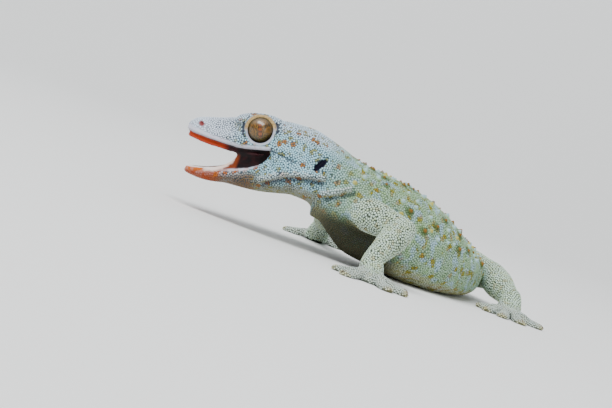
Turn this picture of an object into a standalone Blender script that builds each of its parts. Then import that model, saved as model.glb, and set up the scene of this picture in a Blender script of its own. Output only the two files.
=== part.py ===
"""Tokay gecko, life size, still, with its mouth wide open and its belly, feet and tail on the floor.

The animal faces -X with its left side towards -Y. Lengths in the tables are in millimetres, and
every other length is in metres. Heights are above the floor.
"""

import math
import random

import bmesh
import bpy
import numpy as np
from mathutils import Matrix, Vector

MM = 0.001
GAP = 0.3 * MM

NECK_X = -19.5
SNOUT_X = -64.3
JAW_TIP_X = -60.9
JAW_END_X = -33.0
VENT = 91.0
TAIL_LENGTH = 140.0
BODY_END = VENT + TAIL_LENGTH

EYE_AT = (-44.2, 7.25, 28.5)
EYE_RADIUS = 4.3
EYE_RIM_RADIUS = 3.95
EYE_RIM_THICKNESS = 0.72
EYE_RIM_Y = 9.55
EYE_RIM_LEAN = 0.12
EYE_SEGMENTS = 16
EAR_AT = (-24.3, 25.3)
EAR_HALF_LENGTH = 2.9
EAR_HALF_WIDTH = 1.1
EAR_DEPTH = 2.4
EAR_TILT = math.radians(57)
EAR_RIM_THICKNESS = 0.5
EAR_RIM_CLEAR = 0.4
EAR_RIM_INSET = 0.25
EAR_SEGMENTS = 12
NOSTRIL_AT = (-61.2, 24.5)
NOSTRIL_RADIUS = 0.62
NOSTRIL_RIM_THICKNESS = 0.34
NOSTRIL_RIM_CLEAR = 0.2
NOSTRIL_FACING = (-0.5, 1.0, 0.2)
NOSTRIL_SEGMENTS = 10
LIP_THICKNESS = 0.62
LIP_LIFT = 0.75
LIP_INSET = 0.15
LIP_SIDES = 5
LIP_POINTS = 9
LIP_END = 0.35
UPPER_LIP = (-63.2, -40.0)
LOWER_LIP = (-59.8, -40.6)

SPINE_STEP = 0.25
BODY_SIDES = 20
TAIL_SIDES = 14
LIMB_SIDES = 12
LIMB_RINGS = 5
LIMB_END_ANGLES = (78.0, 52.0, 26.0)
TOE_SIDES = 7
PALM_RINGS = 8

# Stations along the head: the snout from its tip to here in closer steps, then evenly to the neck.
SNOUT_END_X = -42.0
CHEEK_START_X = -40.6
SNOUT_RINGS = 12
CHEEK_RINGS = 9
HEAD_SIDES = 24
JAW_RINGS = 13
JAW_SIDES = 18
MOUTH_RINGS = 10
MOUTH_SIDES = 16
TONGUE_RINGS = 9
TONGUE_SIDES = 12
CLOSING_POWER = 1.6

# Head sections along X: x, lowest, widest and highest level, half width, the roundness of the lower
# and upper halves (2 is an ellipse, more is squarer), and how much the upper half narrows.
HEAD = (
    (SNOUT_X, 21.9, 22.4, 22.9, 0.6, 2.0, 2.0, 0.0),
    (-63.9, 21.5, 22.4, 24.1, 2.5, 3.0, 2.0, 0.0),
    (-62.6, 21.3, 22.4, 25.6, 4.1, 3.5, 2.1, 0.0),
    (-60.5, 21.1, 22.4, 26.7, 5.7, 4.0, 2.2, 0.05),
    (-57.5, 21.0, 22.5, 27.6, 7.2, 4.0, 2.4, 0.1),
    (-53.5, 21.1, 22.9, 28.7, 8.9, 4.0, 2.6, 0.2),
    (-49.0, 21.3, 23.4, 30.6, 10.5, 4.0, 2.6, 0.27),
    (-44.5, 22.2, 24.0, 32.0, 11.9, 4.0, 2.7, 0.27),
    (-40.4, 23.4, 24.6, 32.9, 13.2, 3.6, 2.6, 0.2),
    (-38.6, 19.0, 23.4, 33.3, 13.9, 3.0, 2.5, 0.17),
    (-36.6, 14.6, 22.6, 33.6, 14.6, 2.6, 2.4, 0.13),
    (-34.0, 12.9, 22.2, 33.8, 15.2, 2.4, 2.4, 0.1),
    (-29.5, 13.8, 22.0, 34.0, 15.5, 2.3, 2.3, 0.06),
    (-25.0, 13.6, 21.6, 33.1, 14.7, 2.3, 2.3, 0.03),
    (NECK_X, 9.8, 20.2, 31.6, 12.6, 2.2, 2.2, 0.0),
)

# Lower jaw sections, in the same columns.
JAW = (
    (JAW_TIP_X, 10.1, 10.4, 10.8, 0.6, 2.0, 2.0, 0.0),
    (-60.4, 9.6, 10.6, 11.5, 2.5, 2.4, 2.8, 0.0),
    (-59.0, 9.3, 10.9, 12.0, 4.2, 2.4, 3.4, 0.0),
    (-56.5, 9.2, 11.3, 12.8, 5.9, 2.4, 4.0, 0.0),
    (-53.0, 9.6, 12.2, 14.2, 7.7, 2.4, 4.0, 0.0),
    (-49.0, 10.5, 13.6, 15.6, 9.5, 2.4, 4.0, 0.0),
    (-44.4, 10.9, 14.8, 17.3, 11.2, 2.4, 4.0, 0.0),
    (-41.3, 11.2, 15.6, 19.6, 12.4, 2.4, 3.6, 0.0),
    (-39.6, 11.4, 16.4, 22.6, 13.1, 2.4, 3.0, 0.0),
    (-37.6, 11.8, 17.2, 23.6, 13.8, 2.4, 3.0, 0.0),
    (JAW_END_X, 13.0, 18.2, 22.6, 14.6, 2.4, 3.0, 0.0),
)

# The hollow of the open mouth, in the same columns.
MOUTH = (
    (-60.2, 12.2, 16.5, 22.0, 1.6, 2.4, 2.0, 0.0),
    (-57.0, 11.2, 16.5, 22.4, 3.8, 2.4, 2.0, 0.0),
    (-52.0, 11.9, 17.0, 23.2, 5.9, 2.4, 2.0, 0.0),
    (-46.0, 13.6, 18.0, 24.1, 8.2, 2.4, 2.0, 0.0),
    (-41.0, 14.9, 19.0, 25.0, 9.8, 2.4, 2.0, 0.0),
    (-37.5, 15.6, 19.4, 24.4, 8.8, 2.2, 2.0, 0.0),
    (-34.0, 17.4, 19.2, 21.4, 4.4, 2.0, 2.0, 0.0),
)

# The tongue, low on the floor of the mouth, in the same columns.
TONGUE = (
    (-56.2, 10.9, 11.7, 12.2, 1.4, 2.0, 2.0, 0.0),
    (-54.6, 10.8, 12.0, 13.1, 3.0, 2.0, 2.2, 0.0),
    (-50.0, 11.2, 13.1, 14.6, 4.2, 2.0, 2.4, 0.0),
    (-45.0, 12.6, 14.6, 16.3, 5.0, 2.0, 2.4, 0.0),
    (-41.6, 13.8, 15.6, 17.0, 4.2, 2.0, 2.2, 0.0),
    (-40.6, 14.8, 15.8, 16.6, 2.6, 2.0, 2.0, 0.0),
)

# Which way the spine runs, in degrees from +X towards +Y, by the distance behind the head.
HEADING = (
    (0.0, 0.0),
    (6.0, 7.0),
    (14.0, 20.0),
    (25.0, 41.0),
    (38.0, 62.0),
    (50.0, 74.0),
    (65.0, 82.0),
    (84.0, 86.0),
    (105.0, 88.0),
    (130.0, 92.0),
    (160.0, 102.0),
    (190.0, 114.0),
    (215.0, 122.0),
    (BODY_END, 126.0),
)

# Body and tail sections by the distance behind the head, in the columns of the head's.
BODY = (
    (0.0, 9.8, 20.2, 31.6, 12.6, 2.2, 2.2, 0.0),
    (4.0, 6.8, 18.6, 30.2, 12.2, 2.2, 2.1, 0.0),
    (10.0, 3.2, 15.6, 28.8, 12.8, 2.2, 2.0, 0.0),
    (17.0, 2.0, 13.2, 28.3, 14.0, 2.4, 2.0, 0.0),
    (27.0, 0.6, 11.0, 26.9, 15.2, 2.6, 2.0, 0.0),
    (33.0, -0.2, 9.9, 25.3, 16.0, 2.8, 2.0, 0.0),
    (38.0, -0.4, 9.2, 23.6, 16.5, 2.8, 2.0, 0.0),
    (44.0, -0.4, 8.6, 21.4, 16.9, 2.9, 2.0, 0.0),
    (52.0, -0.4, 8.1, 19.0, 17.0, 2.9, 2.1, 0.0),
    (64.0, -0.4, 7.6, 17.0, 16.2, 2.9, 2.2, 0.0),
    (75.0, -0.4, 7.2, 16.0, 13.6, 2.8, 2.3, 0.0),
    (84.0, -0.4, 6.8, 14.8, 11.2, 2.6, 2.2, 0.0),
    (VENT, -0.4, 6.1, 13.0, 9.4, 2.5, 2.2, 0.0),
    (99.0, -0.4, 5.6, 11.9, 8.8, 2.5, 2.2, 0.0),
    (115.0, -0.4, 4.8, 10.1, 7.4, 2.5, 2.2, 0.0),
    (140.0, -0.4, 3.8, 8.0, 5.8, 2.5, 2.1, 0.0),
    (170.0, -0.4, 2.7, 5.8, 4.1, 2.4, 2.0, 0.0),
    (200.0, -0.3, 1.7, 3.6, 2.5, 2.4, 2.0, 0.0),
    (222.0, -0.2, 0.95, 2.0, 1.3, 2.2, 2.0, 0.0),
    (BODY_END, 0.05, 0.45, 0.95, 0.5, 2.0, 2.0, 0.0),
)

# Where the body is parted, by the distance behind the head: name, start, end, rings and sides.
LENGTHS = (
    ("neck", 0.0, 8.5, 4, BODY_SIDES),
    ("torso_front", 8.5, 47.0, 12, BODY_SIDES),
    ("torso_rear", 47.0, VENT, 12, BODY_SIDES),
    ("tail_base", VENT, 132.0, 9, TAIL_SIDES),
    ("tail_middle", 132.0, 182.0, 9, TAIL_SIDES),
    ("tail_tip", 182.0, BODY_END, 9, TAIL_SIDES),
)

# Limb segments: half width and half height by the share of the way from joint to joint.
UPPER_ARM = ((0.0, 4.9, 5.3), (0.45, 4.4, 4.8), (0.8, 3.9, 4.0), (1.0, 3.8, 3.8))
FOREARM = ((0.0, 3.8, 3.8), (0.3, 4.0, 4.0), (0.75, 3.1, 3.2), (1.0, 2.7, 2.8))
THIGH = ((0.0, 6.0, 6.4), (0.4, 5.8, 6.0), (0.8, 4.7, 4.8), (1.0, 4.4, 4.4))
SHIN = ((0.0, 4.4, 4.4), (0.3, 4.6, 4.5), (0.75, 3.4, 3.4), (1.0, 2.9, 3.0))

# Joints of each limb: shoulder or hip, elbow or knee, wrist or ankle, and the middle of the sole.
LIMBS = {
    "arm_left": ((-10.8, -8.0, 16.6), (3.9, -20.5, 15.6), (-1.8, -35.5, 6.2), (-1.0, -41.5, 0.0)),
    "arm_right": ((-10.7, 10.5, 16.2), (-17.5, 29.5, 14.5), (-17.5, 45.5, 6.0), (-18.0, 51.5, 0.0)),
    "leg_left": ((27.0, 64.0, 8.6), (38.8, 46.6, 9.2), (45.4, 29.8, 5.0), (45.0, 23.8, 0.0)),
    "leg_right": ((14.0, 65.0, 9.0), (-6.5, 66.5, 10.4), (-6.5, 86.5, 5.2), (-7.5, 92.5, 0.0)),
}

# Toes by limb: the direction of each in degrees from -Y towards -X, and its length.
TOES = {
    "arm_left": ((92.0, 11.0), (42.0, 12.2), (-28.0, 12.6), (-62.0, 12.4), (-100.0, 11.2)),
    "arm_right": ((98.0, 11.0), (138.0, 12.2), (172.0, 12.6), (206.0, 12.2), (244.0, 10.8)),
    "leg_left": ((74.0, 10.6), (40.0, 12.8), (12.0, 13.8), (-16.0, 14.0), (-66.0, 12.2)),
    "leg_right": ((88.0, 10.6), (124.0, 12.8), (150.0, 13.8), (178.0, 14.0), (228.0, 12.2)),
}

# Palm sections by the distance from the wrist, in the columns of the head's.
PALM = (
    (-2.6, 3.6, 5.6, 7.6, 1.6, 2.0, 2.0, 0.0),
    (-1.4, 2.9, 5.4, 8.4, 2.7, 2.0, 2.0, 0.0),
    (1.6, 1.4, 4.2, 7.6, 3.2, 2.2, 2.0, 0.0),
    (4.6, -0.4, 2.2, 5.4, 4.1, 2.6, 2.0, 0.0),
    (7.6, -0.4, 1.4, 3.6, 4.3, 2.8, 2.2, 0.0),
    (9.6, -0.4, 1.0, 2.4, 3.1, 2.6, 2.2, 0.0),
    (10.4, 0.1, 0.8, 1.6, 1.5, 2.0, 2.0, 0.0),
)

# Toe sections by the share of the toe's length, in the same columns.
TOE = (
    (0.0, 0.5, 1.7, 3.1, 1.25, 2.0, 2.0, 0.0),
    (0.28, 0.3, 1.5, 2.8, 1.2, 2.0, 2.0, 0.0),
    (0.46, -0.3, 0.9, 2.5, 1.5, 2.6, 2.0, 0.1),
    (0.64, -0.3, 0.7, 2.1, 1.95, 2.8, 2.0, 0.2),
    (0.84, -0.3, 0.6, 1.8, 2.05, 2.8, 2.0, 0.2),
    (0.95, -0.3, 0.6, 1.4, 1.5, 2.6, 2.0, 0.1),
    (1.0, 0.1, 0.5, 0.9, 0.5, 2.0, 2.0, 0.0),
)
CLAW_LENGTH = 2.0
CLAW_RADIUS = 0.42
CLAW_START = 0.86
CLAW_LEVEL = 1.15
CLAW_DROP = math.radians(14)
CLAW_POINT = 0.06
CLAW_SIDES = 6

# Tubercles in rows along the back and sides: the first and last of each row, how far apart they
# stand along the body, the angle of the lowest row above the widest level, and the number of rows.
BACK_ROWS = {"first": 2.0, "last": 89.0, "step": 6.2, "lowest": math.radians(24), "rows": 9}
TAIL_ROWS = {"first": 95.0, "last": 200.0, "step": 8.0, "lowest": math.radians(32), "rows": 5}
TUBERCLE_RADIUS = 0.9
TUBERCLE_HEIGHT = 0.8
TUBERCLE_ROOT = 0.55
TUBERCLE_SIDES = 5
TUBERCLE_VARIATION = 0.25
TUBERCLE_POINT = 0.12
TUBERCLE_LEAN = 0.35
TUBERCLE_MARGIN = 0.5
TUBERCLE_LEAST = 0.35
TUBERCLE_FULL_WIDTH = 12.0
PROBE_ANGLE = 0.05
PROBE_STEP = 0.5
WIDEST_SHARE = 0.999
SMOOTH_ANGLE = math.radians(40)
SEED = 7

# Finishes: colour, roughness and metallic value.
FINISHES = {
    "head_skin": ((0.45, 0.5, 0.52), 0.55, 0.0),
    "body_skin": ((0.36, 0.45, 0.42), 0.6, 0.0),
    "limb_skin": ((0.4, 0.45, 0.4), 0.6, 0.0),
    "jaw_skin": ((0.5, 0.4, 0.32), 0.5, 0.0),
    "tongue_flesh": ((0.5, 0.16, 0.1), 0.35, 0.0),
    "iris": ((0.2, 0.13, 0.04), 0.1, 0.0),
}


def clear_scene():
    for obj in list(bpy.data.objects):
        bpy.data.objects.remove(obj)


def new_collection(name):
    collection = bpy.data.collections.new(name)
    bpy.context.scene.collection.children.link(collection)
    return collection


def finish(name):
    """The material of one finish, made once."""
    material = bpy.data.materials.get(name)
    if material is None:
        colour, roughness, metallic = FINISHES[name]
        material = bpy.data.materials.new(name)
        material.use_nodes = True
        shader = material.node_tree.nodes["Principled BSDF"]
        shader.inputs["Base Color"].default_value = (*colour, 1.0)
        shader.inputs["Roughness"].default_value = roughness
        shader.inputs["Metallic"].default_value = metallic
        material.diffuse_color = (*colour, 1.0)
    return material


def blend(table, places):
    """Rows of a table at places along its first column, on smooth curves that don't overshoot."""
    table = np.asarray(table, float)
    places = np.clip(np.atleast_1d(places), table[0, 0], table[-1, 0])
    knots, rows = table[:, 0], table[:, 1:]
    steps = np.diff(knots)[:, None]
    slopes = np.diff(rows, axis=0) / steps
    product = slopes[:-1] * slopes[1:]
    total = np.where(product > 0, slopes[:-1] + slopes[1:], 1.0)
    middle = np.where(product > 0, 2 * product / total, 0.0)
    tangents = np.vstack([slopes[:1], middle, slopes[-1:]])
    i = np.clip(np.searchsorted(knots, places) - 1, 0, len(knots) - 2)
    h = steps[i]
    t = (places[:, None] - knots[i][:, None]) / h
    start = rows[i] * (2 * t**3 - 3 * t**2 + 1) + tangents[i] * h * (t**3 - 2 * t**2 + t)
    return start + rows[i + 1] * (3 * t**2 - 2 * t**3) + tangents[i + 1] * h * (t**3 - t**2)


def spine():
    """Distances behind the head with the heading and the plan position at each."""
    distance = np.arange(0.0, BODY_END + SPINE_STEP, SPINE_STEP)
    heading = np.radians(blend(HEADING, distance)[:, 0])
    x = NECK_X + np.concatenate([[0.0], np.cumsum(np.cos(heading[:-1])) * SPINE_STEP])
    y = np.concatenate([[0.0], np.cumsum(np.sin(heading[:-1])) * SPINE_STEP])
    return distance, heading, x, y


SPINE = spine()


def body_place(distance):
    """The plan position and the direction across the body at a distance behind the head."""
    along, heading, x, y = SPINE
    angle = np.interp(distance, along, heading)
    place = np.array([np.interp(distance, along, x), np.interp(distance, along, y)])
    return place, np.array([-math.sin(angle), math.cos(angle)])


def section(place, across, row, angles, grow=0.0):
    """Points at angles round an upright cross-section, none of them below the floor."""
    low, wide, top, half_width, low_power, top_power, taper = row
    low, top, half_width = low - grow, top + grow, half_width + grow
    c, s = np.cos(angles), np.sin(angles)
    power = np.where(s < 0, low_power, top_power)
    rise = np.abs(s) ** (2 / power)
    width = half_width * np.sign(c) * np.abs(c) ** (2 / power) * (1 - taper * rise * (s > 0))
    height = np.where(s < 0, wide - (wide - low) * rise, wide + (top - wide) * rise)
    flat = np.asarray(place)[None, :] + width[:, None] * np.asarray(across)[None, :]
    return np.column_stack([flat, np.maximum(height, -grow)]) * MM


def round_angles(sides):
    return (np.arange(sides) + 0.5) * 2 * math.pi / sides


def loft(name, rings, collection):
    """A closed mesh through rings of equally many points."""
    mesh = bmesh.new()
    rows = [[mesh.verts.new(point) for point in ring] for ring in rings]
    for near, far in zip(rows, rows[1:]):
        for i in range(len(near)):
            j = (i + 1) % len(near)
            mesh.faces.new((near[i], near[j], far[j], far[i]))
    mesh.faces.new(rows[0])
    mesh.faces.new(rows[-1])
    bmesh.ops.recalc_face_normals(mesh, faces=mesh.faces)
    return add_object(name, mesh, collection)


def add_object(name, mesh, collection):
    data = bpy.data.meshes.new(name)
    mesh.to_mesh(data)
    mesh.free()
    obj = bpy.data.objects.new(name, data)
    collection.objects.link(obj)
    return obj


def straight_loft(name, table, stations, sides, collection, grow=0.0):
    """A loft along X whose sections come from a table."""
    rows = blend(table, stations)
    angles = round_angles(sides)
    rings = [section((x, 0.0), (0.0, 1.0), row, angles, grow) for x, row in zip(stations, rows)]
    return loft(name, rings, collection)


def eased(start, end, count):
    """Stations that lie closer together at the start."""
    share = np.linspace(0.0, 1.0, count) ** CLOSING_POWER
    return start + (end - start) * share


def body_loft(name, start, end, count, sides, collection, grow=0.0):
    """A stretch of the body between two distances behind the head."""
    stations = np.linspace(start, end, count)
    rows = blend(BODY, stations)
    rings = []
    for station, row in zip(stations, rows):
        place, across = body_place(station)
        rings.append(section(place, across, row, round_angles(sides), grow))
    return loft(name, rings, collection)


def limb_rings(start, end, table, grow=0.0):
    """Rings of a limb segment with a round end at each joint."""
    start, end = Vector(start), Vector(end)
    length = (end - start).length
    along = (end - start).normalized()
    side = along.cross(Vector((0, 0, 1))).normalized()
    up = side.cross(along)
    bow = np.radians(LIMB_END_ANGLES)
    stations = [(-math.sin(a), math.cos(a), 0.0) for a in bow]
    stations += [(0.0, 1.0, share) for share in np.linspace(0.0, 1.0, LIMB_RINGS)]
    stations += [(math.sin(a), math.cos(a), 1.0) for a in bow[::-1]]
    rings = []
    for beyond, narrowing, share in stations:
        half_width, half_height = blend(table, share)[0] + grow
        centre = start + along * (length * share + beyond * half_width)
        angles = round_angles(LIMB_SIDES)
        rings.append([
            tuple((centre + side * math.cos(a) * half_width * narrowing
                   + up * math.sin(a) * half_height * narrowing) * MM)
            for a in angles
        ])
    return rings


def limb_segment(name, start, end, table, collection, grow=0.0):
    return loft(name, limb_rings(start, end, table, grow), collection)


def apply_modifiers(obj):
    graph = bpy.context.evaluated_depsgraph_get()
    mesh = bpy.data.meshes.new_from_object(obj.evaluated_get(graph))
    obj.modifiers.clear()
    obj.data = mesh


def keep_largest(obj):
    """Leaves only the closed surface with the most volume."""
    mesh = bmesh.new()
    mesh.from_mesh(obj.data)
    mesh.verts.ensure_lookup_table()
    unseen = set(mesh.verts)
    surfaces = []
    while unseen:
        found, edge = set(), [unseen.pop()]
        while edge:
            vert = edge.pop()
            found.add(vert)
            for other in (link.other_vert(vert) for link in vert.link_edges):
                if other in unseen:
                    unseen.discard(other)
                    edge.append(other)
        surfaces.append(found)
    surfaces.sort(key=span, reverse=True)
    for surface in surfaces[1:]:
        bmesh.ops.delete(mesh, geom=list(surface), context="VERTS")
    mesh.to_mesh(obj.data)
    mesh.free()


def span(surface):
    """How far a surface reaches, as the length of its box's diagonal."""
    points = np.array([vert.co for vert in surface])
    return float(np.linalg.norm(points.max(axis=0) - points.min(axis=0)))


def fuse(obj, pieces):
    """Joins closed pieces to an object in one union."""
    joined = bpy.data.collections.new("joined")
    bpy.context.scene.collection.children.link(joined)
    for piece in pieces:
        for home in list(piece.users_collection):
            home.objects.unlink(piece)
        joined.objects.link(piece)
    union = obj.modifiers.new("union", "BOOLEAN")
    union.operation = "UNION"
    union.solver = "EXACT"
    union.operand_type = "COLLECTION"
    union.collection = joined
    apply_modifiers(obj)
    for piece in pieces:
        bpy.data.objects.remove(piece)
    bpy.data.collections.remove(joined)
    keep_largest(obj)


def cut(obj, cutters):
    """Takes the cutters out of an object. The exact solver loses surfaces where rims meet sockets."""
    for cutter in cutters:
        cutter.hide_render = True
        cutter.display_type = "WIRE"
        difference = obj.modifiers.new("cut " + cutter.name, "BOOLEAN")
        difference.operation = "DIFFERENCE"
        difference.solver = "MANIFOLD"
        difference.object = cutter
    apply_modifiers(obj)
    keep_largest(obj)


def ball(name, at, radius, collection, segments, stretch=(1, 1, 1), turn=None):
    """A sphere, or an ellipsoid where stretched and turned."""
    mesh = bmesh.new()
    bmesh.ops.create_uvsphere(mesh, u_segments=segments, v_segments=segments // 2, radius=radius * MM)
    matrix = Matrix.Diagonal((*stretch, 1))
    if turn is not None:
        matrix = turn.to_4x4() @ matrix
    bmesh.ops.transform(mesh, matrix=Matrix.Translation(Vector(at) * MM) @ matrix, verts=mesh.verts)
    return add_object(name, mesh, collection)


def rim(name, at, radius, thickness, normal, collection, stretch=(1, 1), turn=0.0, sides=(20, 5)):
    """A ring of round section about a normal, stretched to an oval and turned about the normal."""
    around, about = sides
    frame = Vector(normal).to_track_quat("Z", "Y").to_matrix()
    spin = Matrix.Rotation(turn, 3, "Z")
    rings = []
    for i in range(around):
        angle = 2 * math.pi * i / around
        out = Vector((math.cos(angle), math.sin(angle), 0))
        ring = []
        for j in range(about):
            bend = 2 * math.pi * j / about
            point = out * (radius + thickness * math.cos(bend)) + Vector((0, 0, thickness * math.sin(bend)))
            point = Vector((point.x * stretch[0], point.y * stretch[1], point.z))
            ring.append((Vector(at) + frame @ (spin @ point)) * MM)
        rings.append(ring)
    mesh = bmesh.new()
    rows = [[mesh.verts.new(point) for point in ring] for ring in rings]
    for near, far in zip(rows, rows[1:] + rows[:1]):
        for j in range(about):
            k = (j + 1) % about
            mesh.faces.new((near[j], near[k], far[k], far[j]))
    bmesh.ops.recalc_face_normals(mesh, faces=mesh.faces)
    return add_object(name, mesh, collection)


def rod(name, points, radius, collection):
    """A tube with round-pointed ends through points."""
    path = [Vector(point) for point in points]
    rings = []
    for i, point in enumerate(path):
        along = (path[min(i + 1, len(path) - 1)] - path[max(i - 1, 0)]).normalized()
        side = along.cross(Vector((0, 0, 1))).normalized()
        up = side.cross(along)
        size = radius * (LIP_END if i in (0, len(path) - 1) else 1.0)
        rings.append([
            tuple((point + side * math.cos(a) * size + up * math.sin(a) * size) * MM)
            for a in round_angles(LIP_SIDES)
        ])
    return loft(name, rings, collection)


def side_of_section(table, x, z):
    """Half the width of a section of a table at a height."""
    low, wide, top, half_width, low_power, top_power, taper = blend(table, x)[0]
    upper = z > wide
    share = (z - wide) / (top - wide) if upper else (wide - z) / (wide - low)
    share = min(max(share, 0.0), WIDEST_SHARE)
    power = top_power if upper else low_power
    width = half_width * (1 - share**power) ** (1 / power)
    return width * (1 - taper * share) if upper else width


def head_parts(parts, cutters):
    """The skull with its upper jaw, the lower jaw, the tongue and the eyes."""
    snout = eased(SNOUT_X, SNOUT_END_X, SNOUT_RINGS)
    cheek = np.linspace(CHEEK_START_X, NECK_X - GAP / MM / 2, CHEEK_RINGS)
    stations = np.concatenate([snout, cheek])
    head = straight_loft("head", HEAD, stations, HEAD_SIDES, parts)
    grown = straight_loft("head_clearance", HEAD, stations, HEAD_SIDES, cutters, grow=GAP / MM)
    jaw_stations = eased(JAW_TIP_X, JAW_END_X, JAW_RINGS)
    jaw = straight_loft("lower_jaw", JAW, jaw_stations, JAW_SIDES, parts)
    mouth_stations = np.linspace(MOUTH[0][0], MOUTH[-1][0], MOUTH_RINGS)
    mouth = straight_loft("mouth_hollow", MOUTH, mouth_stations, MOUTH_SIDES, cutters)
    tongue_stations = np.linspace(TONGUE[0][0], TONGUE[-1][0], TONGUE_RINGS)
    tongue = straight_loft("tongue", TONGUE, tongue_stations, TONGUE_SIDES, parts)
    raised = []
    sunk = []
    for sign, side in ((-1, "left"), (1, "right")):
        eye_parts(sign, side, parts, cutters, raised, sunk)
        ear_parts(sign, side, parts, cutters, raised, sunk)
        nostril_parts(sign, side, parts, cutters, raised, sunk)
    raised += lips("upper_lip", HEAD, 0, LIP_LIFT, UPPER_LIP, parts)
    fuse(head, raised)
    cut(head, sunk + [mouth])
    fuse(jaw, lips("lower_lip", JAW, 2, -LIP_LIFT, LOWER_LIP, parts))
    cut(jaw, [mouth, grown])
    cut(tongue, [swollen_copy(jaw, cutters)])
    head.data.materials.append(finish("head_skin"))
    jaw.data.materials.append(finish("jaw_skin"))
    tongue.data.materials.append(finish("tongue_flesh"))


def eye_parts(sign, side, parts, cutters, raised, sunk):
    """An eyeball, the socket that clears it and the lid round it."""
    x, y, z = EYE_AT
    place = (x, sign * y, z)
    eye = ball("eye_" + side, place, EYE_RADIUS, parts, EYE_SEGMENTS)
    eye.data.materials.append(finish("iris"))
    sunk.append(ball("socket_" + side, place, EYE_RADIUS + GAP / MM, cutters, EYE_SEGMENTS))
    lid_place = (x, sign * EYE_RIM_Y, z)
    facing = (0, sign, EYE_RIM_LEAN)
    raised.append(rim("lid_" + side, lid_place, EYE_RIM_RADIUS, EYE_RIM_THICKNESS, facing, parts))


def ear_parts(sign, side, parts, cutters, raised, sunk):
    """The slanted cup of an ear and the fold of skin round it."""
    x, z = EAR_AT
    y = sign * side_of_section(HEAD, x, z)
    turn = Matrix.Rotation(-EAR_TILT, 3, "Y")
    stretch = (EAR_HALF_LENGTH, EAR_DEPTH, EAR_HALF_WIDTH)
    sunk.append(ball("ear_cup_" + side, (x, y, z), 1.0, cutters, EAR_SEGMENTS, stretch, turn))
    oval = (EAR_HALF_WIDTH + EAR_RIM_CLEAR, EAR_HALF_LENGTH + EAR_RIM_CLEAR)
    spin = sign * (math.pi / 2 - EAR_TILT)
    place = (x, y - sign * EAR_RIM_INSET, z)
    raised.append(rim("ear_fold_" + side, place, 1.0, EAR_RIM_THICKNESS, (0, sign, 0), parts, oval, spin))


def nostril_parts(sign, side, parts, cutters, raised, sunk):
    """A nostril and its raised edge."""
    x, z = NOSTRIL_AT
    place = (x, sign * side_of_section(HEAD, x, z), z)
    forward, out, up = NOSTRIL_FACING
    facing = (forward, sign * out, up)
    sunk.append(ball("nostril_" + side, place, NOSTRIL_RADIUS, cutters, NOSTRIL_SEGMENTS))
    raised.append(rim("nostril_rim_" + side, place, NOSTRIL_RADIUS + NOSTRIL_RIM_CLEAR,
                      NOSTRIL_RIM_THICKNESS, facing, parts, sides=(10, 5)))


def lips(name, table, column, lift, ends, collection):
    """Ridges along both edges of the mouth. The column holds the level of the edge."""
    ridges = []
    for sign in (-1, 1):
        points = []
        for x in np.linspace(*ends, LIP_POINTS):
            z = blend(table, x)[0][column] + lift
            points.append((x, sign * (side_of_section(table, x, z) - LIP_INSET), z))
        ridges.append(rod(f"{name}_{sign}", points, LIP_THICKNESS, collection))
    return ridges


def swollen_copy(obj, cutters):
    """A cutter that is larger than an object by the gap on every side."""
    mesh = bmesh.new()
    mesh.from_mesh(obj.data)
    mesh.normal_update()
    moves = [vert.normal * GAP for vert in mesh.verts]
    for vert, move in zip(mesh.verts, moves):
        vert.co += move
    twin = add_object(obj.name + "_clearance", mesh, cutters)
    twin.hide_render = True
    return twin


def tubercles(start, end, rows, chance, collection):
    """Small cones in rows over the upper side of one stretch of the body."""
    cones = []
    angles = np.linspace(rows["lowest"], math.pi - rows["lowest"], rows["rows"])
    count = int((rows["last"] - rows["first"]) / rows["step"]) + 1
    margin = TUBERCLE_RADIUS + TUBERCLE_MARGIN
    for i in range(count):
        for j, angle in enumerate(angles):
            distance = rows["first"] + rows["step"] * (i + 0.5 * (j % 2))
            size = 1 + TUBERCLE_VARIATION * chance.uniform(-1, 1)
            if not start + margin < distance < end - margin:
                continue
            row = blend(BODY, distance)[0]
            size *= min(1.0, TUBERCLE_LEAST + row[3] / TUBERCLE_FULL_WIDTH)
            place, across = body_place(distance)
            here = section(place, across, row, np.array([angle, angle + PROBE_ANGLE]))
            later_place, later_across = body_place(distance + PROBE_STEP)
            later_row = blend(BODY, distance + PROBE_STEP)[0]
            later = section(later_place, later_across, later_row, np.array([angle]))
            around = Vector(here[1] - here[0])
            along = Vector(later[0] - here[0])
            outward = around.cross(along).normalized()
            if outward.z < 0:
                outward.negate()
            outward = (outward + along.normalized() * TUBERCLE_LEAN).normalized()
            cones.append(cone(Vector(here[0]), outward, size, collection))
    return cones


def cone(at, outward, size, collection):
    """One tubercle, with its root sunk in the skin."""
    mesh = bmesh.new()
    depth = (TUBERCLE_HEIGHT + TUBERCLE_ROOT) * size * MM
    radius = TUBERCLE_RADIUS * size * MM
    bmesh.ops.create_cone(mesh, cap_ends=True, segments=TUBERCLE_SIDES, radius1=radius,
                          radius2=radius * TUBERCLE_POINT, depth=depth)
    lift = Matrix.Translation((0, 0, depth / 2 - TUBERCLE_ROOT * size * MM))
    turn = outward.to_track_quat("Z", "Y").to_matrix().to_4x4()
    bmesh.ops.transform(mesh, matrix=Matrix.Translation(at) @ turn @ lift, verts=mesh.verts)
    return add_object("tubercle", mesh, collection)


def body_parts(parts, cutters):
    """The lengths of the body and tail, each parted from the next by the gap. Gives what clears them."""
    chance = random.Random(SEED)
    half_gap = GAP / MM / 2
    clearances = {}
    for name, start, end, count, sides in LENGTHS:
        last = half_gap if end < BODY_END else 0.0
        length = body_loft(name, start + half_gap, end - last, count, sides, parts)
        rows = BACK_ROWS if end <= VENT else TAIL_ROWS
        fuse(length, tubercles(start, end, rows, chance, parts))
        if start <= VENT:
            clearances[name] = swollen_copy(length, cutters)
        length.data.materials.append(finish("body_skin"))
    return clearances


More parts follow.
